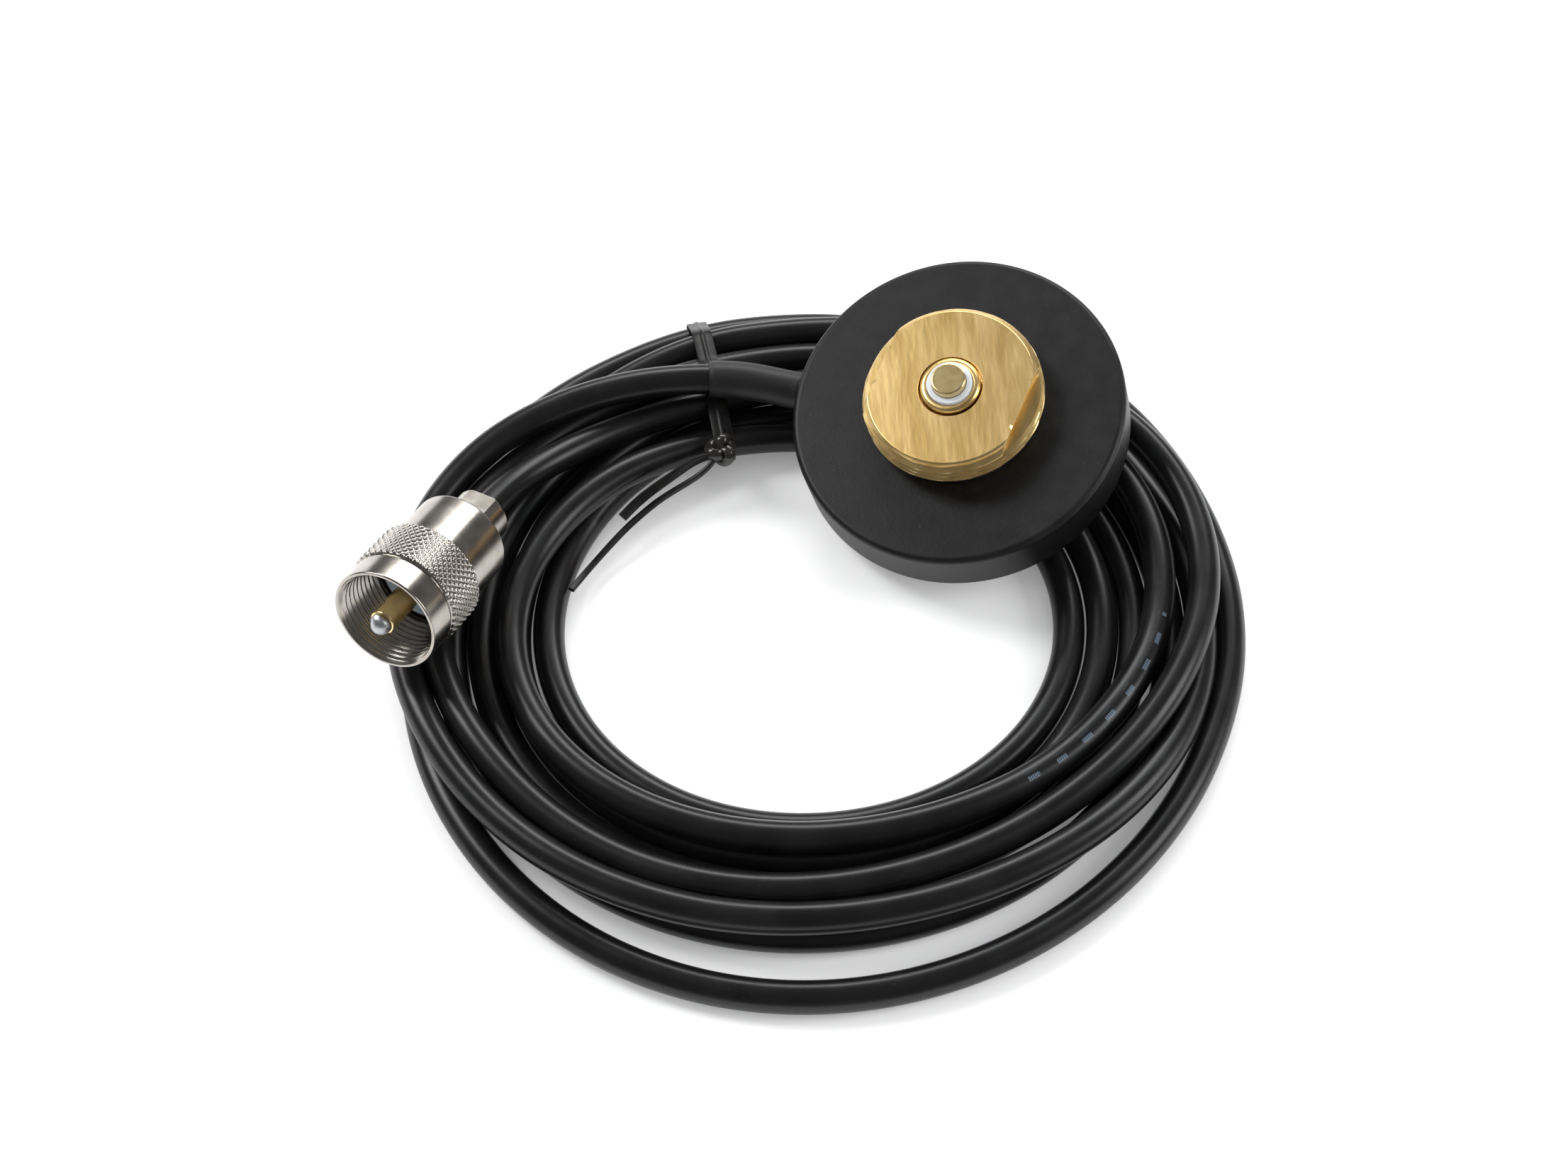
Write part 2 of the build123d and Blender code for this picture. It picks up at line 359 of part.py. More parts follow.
# ---- threaded mount: the crests between the ring grooves keep the thread's full diameter
RELIEF_R, RIM_CHAMFER = 13.1, 1.15
with BuildPart() as mount_body:
    with BuildSketch(BASE_CUT):
        with BuildLine():
            Polyline(
                (BORE_R, SHANK_LOW_H), (SHANK_R, SHANK_LOW_H), (SHANK_R, SEAT_H),
                (RELIEF_R, SEAT_H), (RELIEF_R, CUP_H + 2.4), (THREAD_R, CUP_H + 2.9),
                (THREAD_R, FACE_H - RIM_CHAMFER), (THREAD_R - RIM_CHAMFER, FACE_H),
                (RECESS_R, FACE_H), (RECESS_R, RECESS_H), (COLLAR_BORE_R, RECESS_H),
                (COLLAR_BORE_R, COLLAR_SEAT_H), (INSULATOR_BORE_R, COLLAR_SEAT_H),
                (INSULATOR_BORE_R, INSULATOR_SEAT_H), (BORE_R, INSULATOR_SEAT_H), close=True,
            )
        make_face()
    revolve(axis=BASE_AXIS)
    for k in range(2):
        height = CUP_H + 3.72 + k * THREAD_PITCH
        with BuildSketch(BASE_CUT):
            with BuildLine():
                Polyline(
                    *groove(height, THREAD_R + 0.3, 0.78, THREAD_R - THREAD_DEPTH, 0.09),
                    close=True,
                )
            make_face()
        revolve(axis=BASE_AXIS, mode=Mode.SUBTRACT)
    # two wrench flats that cut the rim down to a step
    for turn in (FLAT_TURN, FLAT_TURN + 180):
        with BuildSketch(turned_plane(BASE, FLAT_H, turn)):
            with Locations((FLAT_D + 5, 0)):
                Rectangle(10, 40)
        extrude(amount=5, mode=Mode.SUBTRACT)
save(mount_body, "mount_body")

tube("mount_gasket", BASE.offset(CUP_H + 0.01), 12.9, 0.48, SHANK_R + GAP)

# ---- stack round the shank under the cup's top: jam nut, lock washer, ground clip
JAM_NUT_H, JAM_NUT_T = SHANK_LOW_H + PLAY, 0.94
WASHER_H, WASHER_T = JAM_NUT_H + JAM_NUT_T + PLAY, 0.32
CLIP_H, CLIP_T = WASHER_H + WASHER_T + PLAY, 0.33
CLIP_W = 3.0
CLIP_LEG_LOW_H = LEAD_H + BRAID_R + GAP

with BuildPart() as mount_jam_nut:
    with BuildSketch(BASE.offset(JAM_NUT_H)):
        RegularPolygon(radius=12.1, side_count=6)
        Circle(SHANK_R + 0.03, mode=Mode.SUBTRACT)
    extrude(amount=JAM_NUT_T)
save(mount_jam_nut, "mount_jam_nut")

with BuildPart() as mount_lock_washer:
    with BuildSketch(BASE.offset(WASHER_H)):
        Circle(11.6)
        Circle(SHANK_R + 0.06, mode=Mode.SUBTRACT)
        # split of the spring washer
        with Locations((-10.4, 0)):
            Rectangle(3.4, 0.7, mode=Mode.SUBTRACT)
    extrude(amount=WASHER_T)
save(mount_lock_washer, "mount_lock_washer")

# ring with a tab, and a leg from the tab down to the lead's braid
with BuildPart() as ground_clip:
    with BuildSketch(BASE.offset(CLIP_H)):
        Circle(11.7)
        with Locations((12.9, 0)):
            Rectangle(5.0, CLIP_W)
        Circle(SHANK_R + 0.07, mode=Mode.SUBTRACT)
    extrude(amount=CLIP_T)
    with BuildSketch(BASE.offset(CLIP_LEG_LOW_H)):
        with Locations((15.2, 0)):
            Rectangle(0.4, CLIP_W)
    extrude(amount=CLIP_H + CLIP_T - CLIP_LEG_LOW_H)
save(ground_clip, "ground_clip")

# ---- centre of the mount
COLLAR_R, COLLAR_LOW_H, COLLAR_TOP_H = COLLAR_BORE_R - GAP, COLLAR_SEAT_H + GAP, FACE_H + 0.7
turned(
    "contact_collar", BASE_CUT, BASE_AXIS,
    [
        (BORE_R, COLLAR_LOW_H), (COLLAR_R, COLLAR_LOW_H),
        (COLLAR_R, COLLAR_TOP_H), (BORE_R, COLLAR_TOP_H),
    ],
    rounds=[((COLLAR_R, COLLAR_TOP_H), 0.75), ((BORE_R, COLLAR_TOP_H), 0.2)],
)

turned("mount_insulator", BASE_CUT, BASE_AXIS, [
    (CONTACT_STEM_R + 0.06, 6.2), (BORE_R - GAP, 6.2), (BORE_R - GAP, INSULATOR_SEAT_H + GAP),
    (INSULATOR_BORE_R - GAP, INSULATOR_SEAT_H + GAP),
    (INSULATOR_BORE_R - GAP, COLLAR_SEAT_H - GAP), (3.58, COLLAR_SEAT_H - GAP),
    (3.58, FACE_H + 1.3), (CONTACT_R + 0.06, FACE_H + 1.3), (CONTACT_R + 0.06, FACE_H + 0.38),
    (CONTACT_STEM_R + 0.06, FACE_H + 0.38),
])

turned(
    "mount_contact", BASE_CUT, BASE_AXIS,
    [
        (0, CONTACT_LOW_H), (CONTACT_STEM_R, CONTACT_LOW_H), (CONTACT_STEM_R, FACE_H + 0.42),
        (CONTACT_R, FACE_H + 0.42), (CONTACT_R, CONTACT_TOP_H), (0, CONTACT_TOP_H),
    ],
    rounds=[((CONTACT_R, CONTACT_TOP_H), 0.25)],
)

# solder under the contact, bored for the lead's conductor
SOLDER_LOW_H, SOLDER_TOP_H = LEAD_H - 0.9, CONTACT_LOW_H - 0.03
with BuildPart() as contact_solder:
    with BuildSketch(BASE.offset(SOLDER_LOW_H)):
        Circle(1.15)
    extrude(amount=SOLDER_TOP_H - SOLDER_LOW_H)
    with BuildSketch(out(CORE_START - GAP)):
        Circle(CORE_R + PLAY)
    extrude(amount=5, mode=Mode.SUBTRACT)
save(contact_solder, "contact_solder")

tube("exit_tube", out(CUP_R - 6.0), TUBE_R, 6.15, TUBE_BORE_R)

# ================================================================ lead
# the jacket runs the whole way; the layers under it are built where it is stripped off them
spans = [Line(tuple(OUT.origin + OUT.z_dir * JACKET_START), LEAD[0])]
for i in range(len(HEADING) - 1):
    points = LEAD[i * LEAD_STEP:(i + 1) * LEAD_STEP + 1]
    spans.append(Spline(*points, tangents=(HEADING[i], HEADING[i + 1])))
spans.append(Line(LEAD[-1], tuple(PLUG.origin - PLUG.z_dir * JACKET_END_L)))

with BuildPart() as cable_jacket:
    with BuildSketch(out(JACKET_START)):
        Circle(JACKET_R)
    sweep(path=Wire(spans))
save(cable_jacket, "cable_jacket")

# ---- stripped end in the cup: each layer runs from its start out to the jacket
for name, start, layer_r, bore_r in (
    ("base_braid", 13.0, BRAID_R, BRAID_IN_R),
    ("base_dielectric", 3.0, DIEL_R, DIEL_IN_R),
    ("base_conductor", CORE_START, CORE_R, 0),
):
    tube(name, out(start), layer_r, JACKET_START - PLAY - start, bore_r)

# ---- stripped end in the plug: each layer runs forward from the jacket's end
for name, length, layer_r, bore_r in (
    ("plug_braid", 2.4, BRAID_R, BRAID_IN_R),
    ("plug_dielectric", 4.3, DIEL_R, DIEL_IN_R),
    ("plug_conductor", 20.6, CORE_R, 0),
):
    tube(name, PLUG.offset(PLAY - JACKET_END_L), layer_r, length, bore_r)

# ---- heat-shrink sleeve over the lead where it leaves the cup
with BuildPart() as heat_shrink_sleeve:
    with BuildLine() as path:
        Spline(*SLEEVE_PATH, tangents=(tuple(BASE.x_dir), SLEEVE_END_HEADING))
    with BuildSketch(Plane(origin=SLEEVE_PATH[0], z_dir=BASE.x_dir)):
        Circle(SLEEVE_R)
        Circle(SLEEVE_BORE_R, mode=Mode.SUBTRACT)
    sweep(path=path.wire())
save(heat_shrink_sleeve, "heat_shrink_sleeve")

# ================================================================ plug
with BuildPart() as coupling_nut:
    with BuildSketch(PLUG_CUT) as profile:
        with BuildLine():
            Polyline(
                (UHF_MAJOR_R + 0.05, 0), (NUT_RING_R, 0), (NUT_RING_R, -NUT_RING_L),
                (NUT_RING_R - 0.15, -NUT_RING_L), (NUT_RING_R - 0.15, -NUT_RING_L - 0.3),
                (NUT_KNURL_R - 0.2, -NUT_RING_L - 0.3), (NUT_KNURL_R, -NUT_RING_L - 0.5),
                (NUT_KNURL_R, -NUT_KNURL_L + 0.2), (NUT_KNURL_R - 0.2, -NUT_KNURL_L),
                (NUT_REAR_R, -NUT_KNURL_L), (NUT_REAR_R, -NUT_L), (NUT_BORE_R, -NUT_L),
                (NUT_BORE_R, -NUT_SHOULDER_L), (NUT_RELIEF_R, -NUT_SHOULDER_L),
                (NUT_RELIEF_R, -RELIEF_L), (UHF_MINOR_R, -RELIEF_L), (UHF_MINOR_R, -0.55),
                close=True,
            )
        make_face()
        fillet(profile.vertices().sort_by_distance((NUT_RING_R, 0))[0], 0.2)
        fillet(profile.vertices().sort_by_distance((NUT_REAR_R, -NUT_L))[0], 0.35)
    revolve(axis=PLUG_AXIS)
    for k in range(8):
        height = -1.35 - k * UHF_PITCH
        with BuildSketch(PLUG_CUT):
            with BuildLine():
                Polyline(
                    *groove(height, UHF_MINOR_R - 0.2, 0.44, UHF_MAJOR_R, 0.07), close=True
                )
            make_face()
        revolve(axis=PLUG_AXIS, mode=Mode.SUBTRACT)
save(coupling_nut, "coupling_nut")

tube("plug_slip_ring", PLUG.offset(-NUT_SHOULDER_L + GAP), 7.42, 0.5, NUT_BORE_R - PLAY)

turned("plug_body", PLUG_CUT, PLUG_AXIS, [
    (BODY_MOUTH_R, -10.9), (BODY_FLANGE_R, -10.9), (BODY_FLANGE_R, -13.6), (BODY_R, -13.6),
    (BODY_R, -22.1), (BODY_REAR_BORE_R, -22.1), (BODY_REAR_BORE_R, -16.2),
    (BODY_NECK_R, -16.2), (BODY_NECK_R, -BODY_NECK_L), (BODY_MOUTH_R, -BODY_NECK_L),
])

turned("plug_insulator", PLUG_CUT, PLUG_AXIS, [
    (PIN_R + INSULATOR_FIT, -INSULATOR_FRONT_L),
    (BODY_MOUTH_R - INSULATOR_FIT, -INSULATOR_FRONT_L),
    (BODY_MOUTH_R - INSULATOR_FIT, -BODY_NECK_L + INSULATOR_FIT),
    (BODY_NECK_R - INSULATOR_FIT, -BODY_NECK_L + INSULATOR_FIT),
    (BODY_NECK_R - INSULATOR_FIT, -PIN_REAR_L), (PIN_R + INSULATOR_FIT, -PIN_REAR_L),
])

# hollow pin with a collar in front of the insulator
turned("plug_pin", PLUG_CUT, PLUG_AXIS, [
    (PIN_BORE_R, -PIN_REAR_L), (PIN_R, -PIN_REAR_L), (PIN_R, -INSULATOR_FRONT_L + GAP),
    (2.75, -INSULATOR_FRONT_L + GAP), (2.75, -9.8), (PIN_R, -9.8), (PIN_R, PIN_TIP - 0.3),
    (PIN_R - 0.3, PIN_TIP), (PIN_BORE_R, PIN_TIP),
])

# domed blob on the pin's tip
with BuildPart() as pin_solder:
    with BuildSketch(PLUG.offset(PIN_TIP + PLAY)):
        Circle(1.68)
    extrude(amount=1.6)
    fillet(pin_solder.edges().filter_by(GeomType.CIRCLE).sort_by(PLUG_AXIS)[-1], 1.25)
save(pin_solder, "pin_solder")

with BuildPart() as plug_reducer:
    with BuildSketch(PLUG_CUT) as profile:
        with BuildLine():
            Polyline(
                (1.86, -16.4), (BODY_REAR_BORE_R - GAP, -16.4),
                (BODY_REAR_BORE_R - GAP, -22.6), (REDUCER_R, -22.6),
                (REDUCER_R, -REDUCER_END_L), (2.52, -REDUCER_END_L), (2.52, -19.9),
                (1.86, -19.9), close=True,
            )
        make_face()
        fillet(profile.vertices().sort_by_distance((REDUCER_R, -REDUCER_END_L))[0], 0.4)
    revolve(axis=PLUG_AXIS)
    # two wrench flats on the part that stands out of the nut
    for turn in (90, 270):
        with BuildSketch(turned_plane(PLUG, -REDUCER_END_L - 0.5, turn)):
            with Locations((REDUCER_FLAT + 2, 0)):
                Rectangle(4, 12)
        extrude(amount=6.3, mode=Mode.SUBTRACT)
save(plug_reducer, "plug_reducer")

# ================================================================ twist tie
with BuildPart() as tie_band:
    with BuildSketch(TIE):
        with BuildLine():
            Spline(*TIE_OUTER, periodic=True)
        make_face()
        with BuildLine():
            Spline(*TIE_INNER, periodic=True)
        make_face(mode=Mode.SUBTRACT)
    extrude(amount=TIE_W / 2, both=True)
save(tie_band, "tie_band")

with BuildPart() as tie_knot:
    with BuildLine():
        twist = Spline(*TWIST)
    for spot, x_radius, y_radius in KNOT_SECTIONS:
        with BuildSketch(Plane(origin=twist @ spot, z_dir=twist % spot)):
            Ellipse(x_radius, y_radius)
    loft()
save(tie_knot, "tie_knot")

with BuildPart() as tie_tail_ribbon:
    with BuildLine() as path:
        ribbon = Spline(*RIBBON)
    with BuildSketch(Plane(origin=ribbon @ 0, x_dir=(0, 0, 1), z_dir=ribbon % 0)):
        Rectangle(1.5, 0.55)
    sweep(path=path.wire())
save(tie_tail_ribbon, "tie_tail_ribbon")

with BuildPart() as tie_tail_thin:
    with BuildLine() as path:
        thin = Spline(*THIN)
    with BuildSketch(Plane(origin=thin @ 0, z_dir=thin % 0)):
        Circle(0.5)
    sweep(path=path.wire())
save(tie_tail_thin, "tie_tail_thin")
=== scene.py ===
"""A magnetic aerial mount with its coiled lead, plug and twist tie.

The coil lies flat on the floor at z = 0, round the origin. The round black cup rests tipped on
the coil with its threaded brass mount facing up, and the plug lies at the -X side with its open
end toward -Y. The camera looks from -Y, downward. Sizes are in millimetres unless a comment says
metres; meshes are scaled to metres as they are made.
"""
import bpy
import math
import random
import numpy as np
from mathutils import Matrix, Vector

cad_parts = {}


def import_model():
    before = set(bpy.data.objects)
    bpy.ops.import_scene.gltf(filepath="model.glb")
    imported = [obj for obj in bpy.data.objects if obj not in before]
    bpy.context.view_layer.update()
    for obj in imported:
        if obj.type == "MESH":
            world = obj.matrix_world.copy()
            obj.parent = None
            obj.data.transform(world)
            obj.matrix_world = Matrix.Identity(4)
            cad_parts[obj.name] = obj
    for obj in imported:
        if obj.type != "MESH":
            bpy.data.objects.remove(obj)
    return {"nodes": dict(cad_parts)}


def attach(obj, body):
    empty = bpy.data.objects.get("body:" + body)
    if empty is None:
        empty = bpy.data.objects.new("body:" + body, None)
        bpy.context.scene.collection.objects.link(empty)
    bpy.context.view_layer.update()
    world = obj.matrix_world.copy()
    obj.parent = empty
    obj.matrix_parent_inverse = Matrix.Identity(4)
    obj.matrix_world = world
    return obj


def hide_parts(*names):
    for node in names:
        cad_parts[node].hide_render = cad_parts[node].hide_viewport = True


random.seed(7)
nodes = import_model()["nodes"]
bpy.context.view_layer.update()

# ---------------------------------------------------------------- places and directions
MM_PER_M = 1000
UP = np.array((0, 0, 1.0))

# base: origin on the cup's axis at its rim, x toward the lead's exit, z out of the mount
BASE_ORIGIN = np.array((26.1321, 33.0264, 11.6380))
BASE_X = np.array((-0.9369251, 0.3257018, -0.1268453))
BASE_Z = np.array((-0.2002989, -0.2028989, 0.9584948))
BASE = (BASE_ORIGIN, BASE_X, np.cross(BASE_Z, BASE_X), BASE_Z)

# plug: origin at the open end of its nut, z out of that end
PLUG_ORIGIN = np.array((-61.6111, -11.2570, 22.9611))
PLUG_X = np.array((0.9031869, -0.4292476, 0.0))
PLUG_Z = np.array((-0.4128337, -0.8686500, 0.2738896))
PLUG = (PLUG_ORIGIN, PLUG_X, np.cross(PLUG_Z, PLUG_X), PLUG_Z)

# tie: its loop lies in the plane of TIE_ALONG and UP
TIE_ORIGIN = np.array((-17.2125, 59.5305, -0.0389))
TIE_ALONG = np.array((0.1824954, -0.9832067, 0.0))
TIE_ACROSS = np.cross(TIE_ALONG, UP)

# camera: aimed at a point, tilted down by VIEW_TILT degrees
VIEW_TILT = 55.27
VIEW_AIM = np.array((-2.7905, 10.5115, -0.0389))
VIEW_DISTANCE = 420
TILT = math.radians(VIEW_TILT)
VIEW_RIGHT = np.array((1.0, 0, 0))
VIEW_UP = np.array((0, math.sin(TILT), math.cos(TILT)))
VIEW_FORWARD = np.array((0, math.cos(TILT), -math.sin(TILT)))

# centre line of the lead, from the cup to the plug: x, y, z
LEAD_LINE = np.array([
    (0.5825, 40.9271, 11.7272), (-8.1766, 42.3818, 12.5850), (-17.1208, 42.2938, 13.3139),
    (-26.0249, 41.1462, 13.3808), (-34.6827, 38.8275, 12.9007), (-42.8253, 35.1427, 12.1028),
    (-50.0751, 29.9684, 11.0730), (-55.8354, 23.2238, 9.7918), (-59.7883, 15.2635, 8.6318),
    (-61.7637, 6.5577, 7.8223), (-61.7080, -2.3994, 7.4323), (-59.8300, -11.1709, 7.5174),
    (-56.4187, -19.4714, 7.5203), (-51.7835, -27.1484, 7.1320), (-46.0398, -34.0446, 6.9854),
    (-39.3642, -40.0427, 7.1722), (-31.8396, -44.9297, 7.4111), (-23.6510, -48.6055, 7.5347),
    (-15.0177, -51.0647, 7.5756), (-6.1143, -52.2124, 7.5855), (2.8646, -52.1674, 7.5814),
    (11.7711, -51.0256, 7.5864), (20.4768, -48.8252, 7.5978), (28.8548, -45.5948, 7.5729),
    (36.7558, -41.3330, 7.4318), (43.9841, -36.0197, 7.1077), (50.3222, -29.6820, 6.6446),
    (55.4802, -22.3667, 6.0154), (59.2337, -14.2466, 5.3306), (61.3907, -5.5548, 4.7837),
    (62.0273, 3.3811, 4.2397), (61.2320, 12.3021, 3.6632), (58.9572, 20.9655, 3.0962),
    (55.3962, 29.1923, 2.6294), (50.6729, 36.8254, 2.5116), (44.9754, 43.7645, 2.5110),
    (38.3806, 49.8543, 2.5111), (30.8952, 54.8060, 2.5111), (22.7404, 58.5579, 2.5112),
    (14.1129, 61.0354, 2.5107), (5.2083, 62.1664, 2.5136), (-3.7655, 61.9488, 2.5476),
    (-12.6092, 60.4351, 2.8419), (-21.1615, 57.7071, 2.8368), (-29.2630, 53.8467, 2.5723),
    (-36.7745, 48.9307, 2.5102), (-43.4734, 42.9571, 2.5118), (-49.1121, 35.9744, 2.5109),
    (-53.6288, 28.2167, 2.5112), (-56.9520, 19.8777, 2.5111), (-59.0534, 11.1495, 2.5111),
    (-59.9427, 2.2158, 2.5111), (-59.6055, -6.7561, 2.5111), (-58.1213, -15.6113, 2.5111),
    (-55.4563, -24.1838, 2.5111), (-51.5500, -32.2659, 2.5111), (-46.5362, -39.7128, 2.5111),
    (-40.4826, -46.3405, 2.5111), (-33.4923, -51.9712, 2.5111), (-25.7192, -56.4596, 2.5111),
    (-17.3482, -59.6992, 2.5111), (-8.5821, -61.6309, 2.5111), (0.3740, -62.2403, 2.5111),
    (9.3247, -61.5506, 2.5111), (18.0904, -59.6116, 2.5111), (26.5087, -56.4912, 2.5111),
    (34.4322, -52.2692, 2.5111), (41.7280, -47.0363, 2.5111), (48.2769, -40.8942, 2.5111),
    (53.9739, -33.9545, 2.5111), (58.7323, -26.3405, 2.5111), (62.4628, -18.1733, 2.5110),
    (65.1676, -9.6116, 2.5116), (66.5996, -0.7508, 2.5091), (66.6820, 8.2251, 2.5187),
    (65.3386, 17.0989, 2.4951), (62.6398, 25.6445, 2.9606), (58.5772, 33.5884, 3.9127),
    (53.2242, 40.6739, 5.1970), (46.6050, 46.5840, 6.5046), (38.9212, 51.1198, 7.4280),
    (30.5355, 54.3109, 7.5525), (21.8051, 56.3942, 7.2679), (12.8962, 57.5050, 7.0454),
    (3.9185, 57.7410, 6.9385), (-5.0347, 57.0566, 6.7878), (-13.8565, 55.4027, 6.5452),
    (-22.2518, 52.3322, 5.8019), (-30.0170, 47.9502, 4.7623), (-36.9769, 42.3803, 3.7247),
    (-42.9784, 35.7648, 2.8449), (-47.8031, 28.2081, 2.5209), (-51.3005, 19.9425, 2.5096),
    (-53.4635, 11.2305, 2.5115), (-54.3898, 2.3006, 2.5110), (-53.9635, -6.6649, 2.5111),
    (-52.2498, -15.4773, 2.5111), (-49.1318, -23.8905, 2.5111), (-44.4794, -31.5600, 2.5111),
    (-38.4004, -38.1569, 2.5111), (-31.2774, -43.6182, 2.5111), (-23.3638, -47.8508, 2.5111),
    (-14.8672, -50.7434, 2.5111), (-6.0251, -52.2890, 2.5111), (2.9492, -52.4759, 2.5111),
    (11.8523, -51.3282, 2.5111), (20.4880, -48.8782, 2.5111), (28.6583, -45.1608, 2.5111),
    (36.1667, -40.2423, 2.5111), (42.8180, -34.2157, 2.5111), (48.4198, -27.2035, 2.5111),
    (52.8182, -19.3805, 2.5111), (55.7534, -10.9025, 2.5111), (57.1691, -2.0404, 2.5111),
    (57.0194, 6.9310, 2.5111), (55.3197, 15.7430, 2.5111), (52.1981, 24.1577, 2.5111),
    (47.8226, 31.9959, 2.5111), (42.3486, 39.1105, 2.5111), (35.8788, 45.3322, 2.5110),
    (28.4288, 50.3294, 2.5113), (20.1282, 53.7250, 2.5103), (11.2959, 55.2800, 2.5142),
    (2.3208, 55.1933, 2.5067), (-6.5438, 53.7871, 2.6758), (-15.1136, 51.1255, 2.8969),
    (-23.1272, 47.0941, 2.7227), (-30.3620, 41.7869, 2.5102), (-36.7191, 35.4501, 2.5863),
    (-41.9777, 28.1866, 2.9237), (-45.9243, 20.1415, 3.4079), (-48.4214, 11.5318, 3.8055),
    (-49.4879, 2.6208, 3.9064), (-48.9968, -6.3344, 3.7120), (-46.7439, -15.0092, 3.3665),
    (-42.7690, -23.0387, 2.9542), (-37.2377, -30.0900, 2.5966), (-30.3914, -35.8836, 2.4937),
    (-22.5624, -40.2664, 2.5158), (-14.0912, -43.2298, 2.5098), (-5.2472, -44.7557, 2.5114),
    (3.7282, -44.8762, 2.5110), (12.6027, -43.5438, 2.5111), (21.1540, -40.8140, 2.5111),
    (29.1721, -36.7825, 2.5111), (36.3682, -31.4231, 2.5111), (42.4744, -24.8492, 2.5111),
    (47.2054, -17.2287, 2.5111), (50.3490, -8.8267, 2.5111), (51.7849, 0.0273, 2.5111),
    (51.3958, 8.9878, 2.5111), (49.2025, 17.6853, 2.5111), (45.3424, 25.7829, 2.5111),
    (39.9800, 32.9741, 2.5111), (33.3582, 39.0285, 2.5111), (25.7586, 43.7993, 2.5110),
    (17.4458, 47.1798, 2.5113), (8.6644, 49.0177, 2.5109), (-0.3059, 49.2920, 2.5385),
    (-9.1471, 47.8276, 2.7958), (-17.4660, 44.4813, 2.8753), (-24.9976, 39.6115, 2.6083),
    (-31.6020, 33.5354, 2.5115), (-37.1046, 26.4468, 2.5125), (-41.2057, 18.4687, 2.5108),
    (-43.7480, 9.8634, 2.5112), (-44.6538, 0.9391, 2.5111), (-43.6336, -7.9675, 2.5111),
    (-40.6070, -16.4068, 2.5111), (-35.7618, -23.9503, 2.5111), (-29.3674, -30.2369, 2.5111),
    (-21.7773, -35.0134, 2.5111), (-13.3746, -38.1548, 2.5111), (-4.5397, -39.7293, 2.5111),
    (4.4324, -39.7313, 2.5111), (13.2638, -38.1382, 2.5112), (21.6822, -35.0338, 2.5107),
    (29.3927, -30.4462, 2.5127), (36.0824, -24.4708, 2.5084), (41.4011, -17.2526, 2.6646),
    (45.0337, -9.0631, 3.0270), (46.7340, -0.2659, 3.3251), (46.3773, 8.6905, 3.4735),
    (43.9892, 17.3314, 3.4084), (39.7167, 25.2097, 3.1583), (33.8055, 31.9423, 2.7993),
    (26.5757, 37.2410, 2.5424), (18.3931, 40.9129, 2.5095), (9.6359, 42.8543, 2.5094),
    (0.6673, 43.0337, 2.5469), (-8.1784, 41.5478, 2.7913), (-16.5890, 38.4397, 2.8813),
    (-24.1203, 33.5850, 2.5948), (-30.3771, 27.1621, 2.5144), (-35.1404, 19.5630, 2.5119),
    (-38.2574, 11.1525, 2.5109), (-39.4838, 2.2731, 2.5111), (-38.5035, -6.6342, 2.5111),
    (-35.3130, -15.0072, 2.5111), (-30.1161, -22.3074, 2.5111), (-23.2876, -28.1131, 2.5111),
    (-15.2924, -32.1698, 2.5111), (-6.6008, -34.3781, 2.5111), (2.3611, -34.7694, 2.5111),
    (11.2299, -33.4216, 2.5111), (19.6601, -30.3577, 2.5111), (27.2833, -25.6340, 2.5111),
    (33.6930, -19.3655, 2.5111), (38.4601, -11.7757, 2.5111), (41.1949, -3.2432, 2.5111),
    (41.6214, 5.7048, 2.5110), (39.6584, 14.4448, 2.5115), (35.4540, 22.3555, 2.5096),
    (29.3580, 28.9232, 2.5165), (21.8426, 33.8083, 2.4913), (13.4096, 36.8490, 2.5950),
    (4.5443, 38.0393, 3.2507), (-4.3411, 37.4418, 4.3145), (-12.9717, 35.3118, 5.5738),
    (-21.2391, 32.0046, 6.6957), (-28.8541, 27.3248, 7.4812), (-35.5196, 21.3279, 7.5297),
    (-40.6300, 13.9659, 7.4056), (-43.7884, 5.5812, 7.5463), (-44.6808, -3.3318, 7.5880),
    (-43.1444, -12.1560, 7.5292), (-39.3238, -20.2594, 7.5039), (-33.5798, -27.1389, 7.5338),
    (-26.3871, -32.4920, 7.5690), (-18.2290, -36.2215, 7.5567), (-9.5186, -38.3781, 7.5141),
    (-0.5700, -39.0758, 7.4957), (8.3847, -38.4408, 7.5275), (17.1632, -36.5611, 7.5833),
    (25.5928, -33.4743, 7.5608), (33.4677, -29.1724, 7.3496), (40.5548, -23.6680, 7.3006),
    (46.6397, -17.0761, 7.5546), (51.4587, -9.5119, 7.4739), (54.5861, -1.1103, 7.2709),
    (55.8493, 7.7658, 7.4446), (55.1330, 16.7013, 7.5762), (52.3812, 25.2329, 7.5454),
    (47.7552, 32.9134, 7.5764), (41.5828, 39.4195, 7.5858), (34.2764, 44.6237, 7.3410),
    (26.2401, 48.5923, 6.8733), (17.6467, 51.1540, 6.5412), (8.7406, 52.2755, 6.5072),
    (-0.2284, 52.0901, 6.7636), (-9.0510, 50.4765, 7.1639), (-17.6395, 47.8871, 7.5939),
    (-25.9227, 44.4201, 7.6349), (-33.7011, 39.9377, 7.5447), (-40.7801, 34.4191, 7.3983),
    (-46.9942, 27.9416, 7.5101), (-52.1308, 20.5858, 7.5096), (-55.6235, 12.3466, 7.0198),
    (-56.9096, 3.4803, 6.8989), (-56.0734, -5.4416, 7.1942), (-53.3815, -13.9900, 7.5538),
    (-49.1183, -21.8847, 7.5337), (-43.6346, -28.9782, 7.1102), (-37.1446, -35.1554, 6.5888),
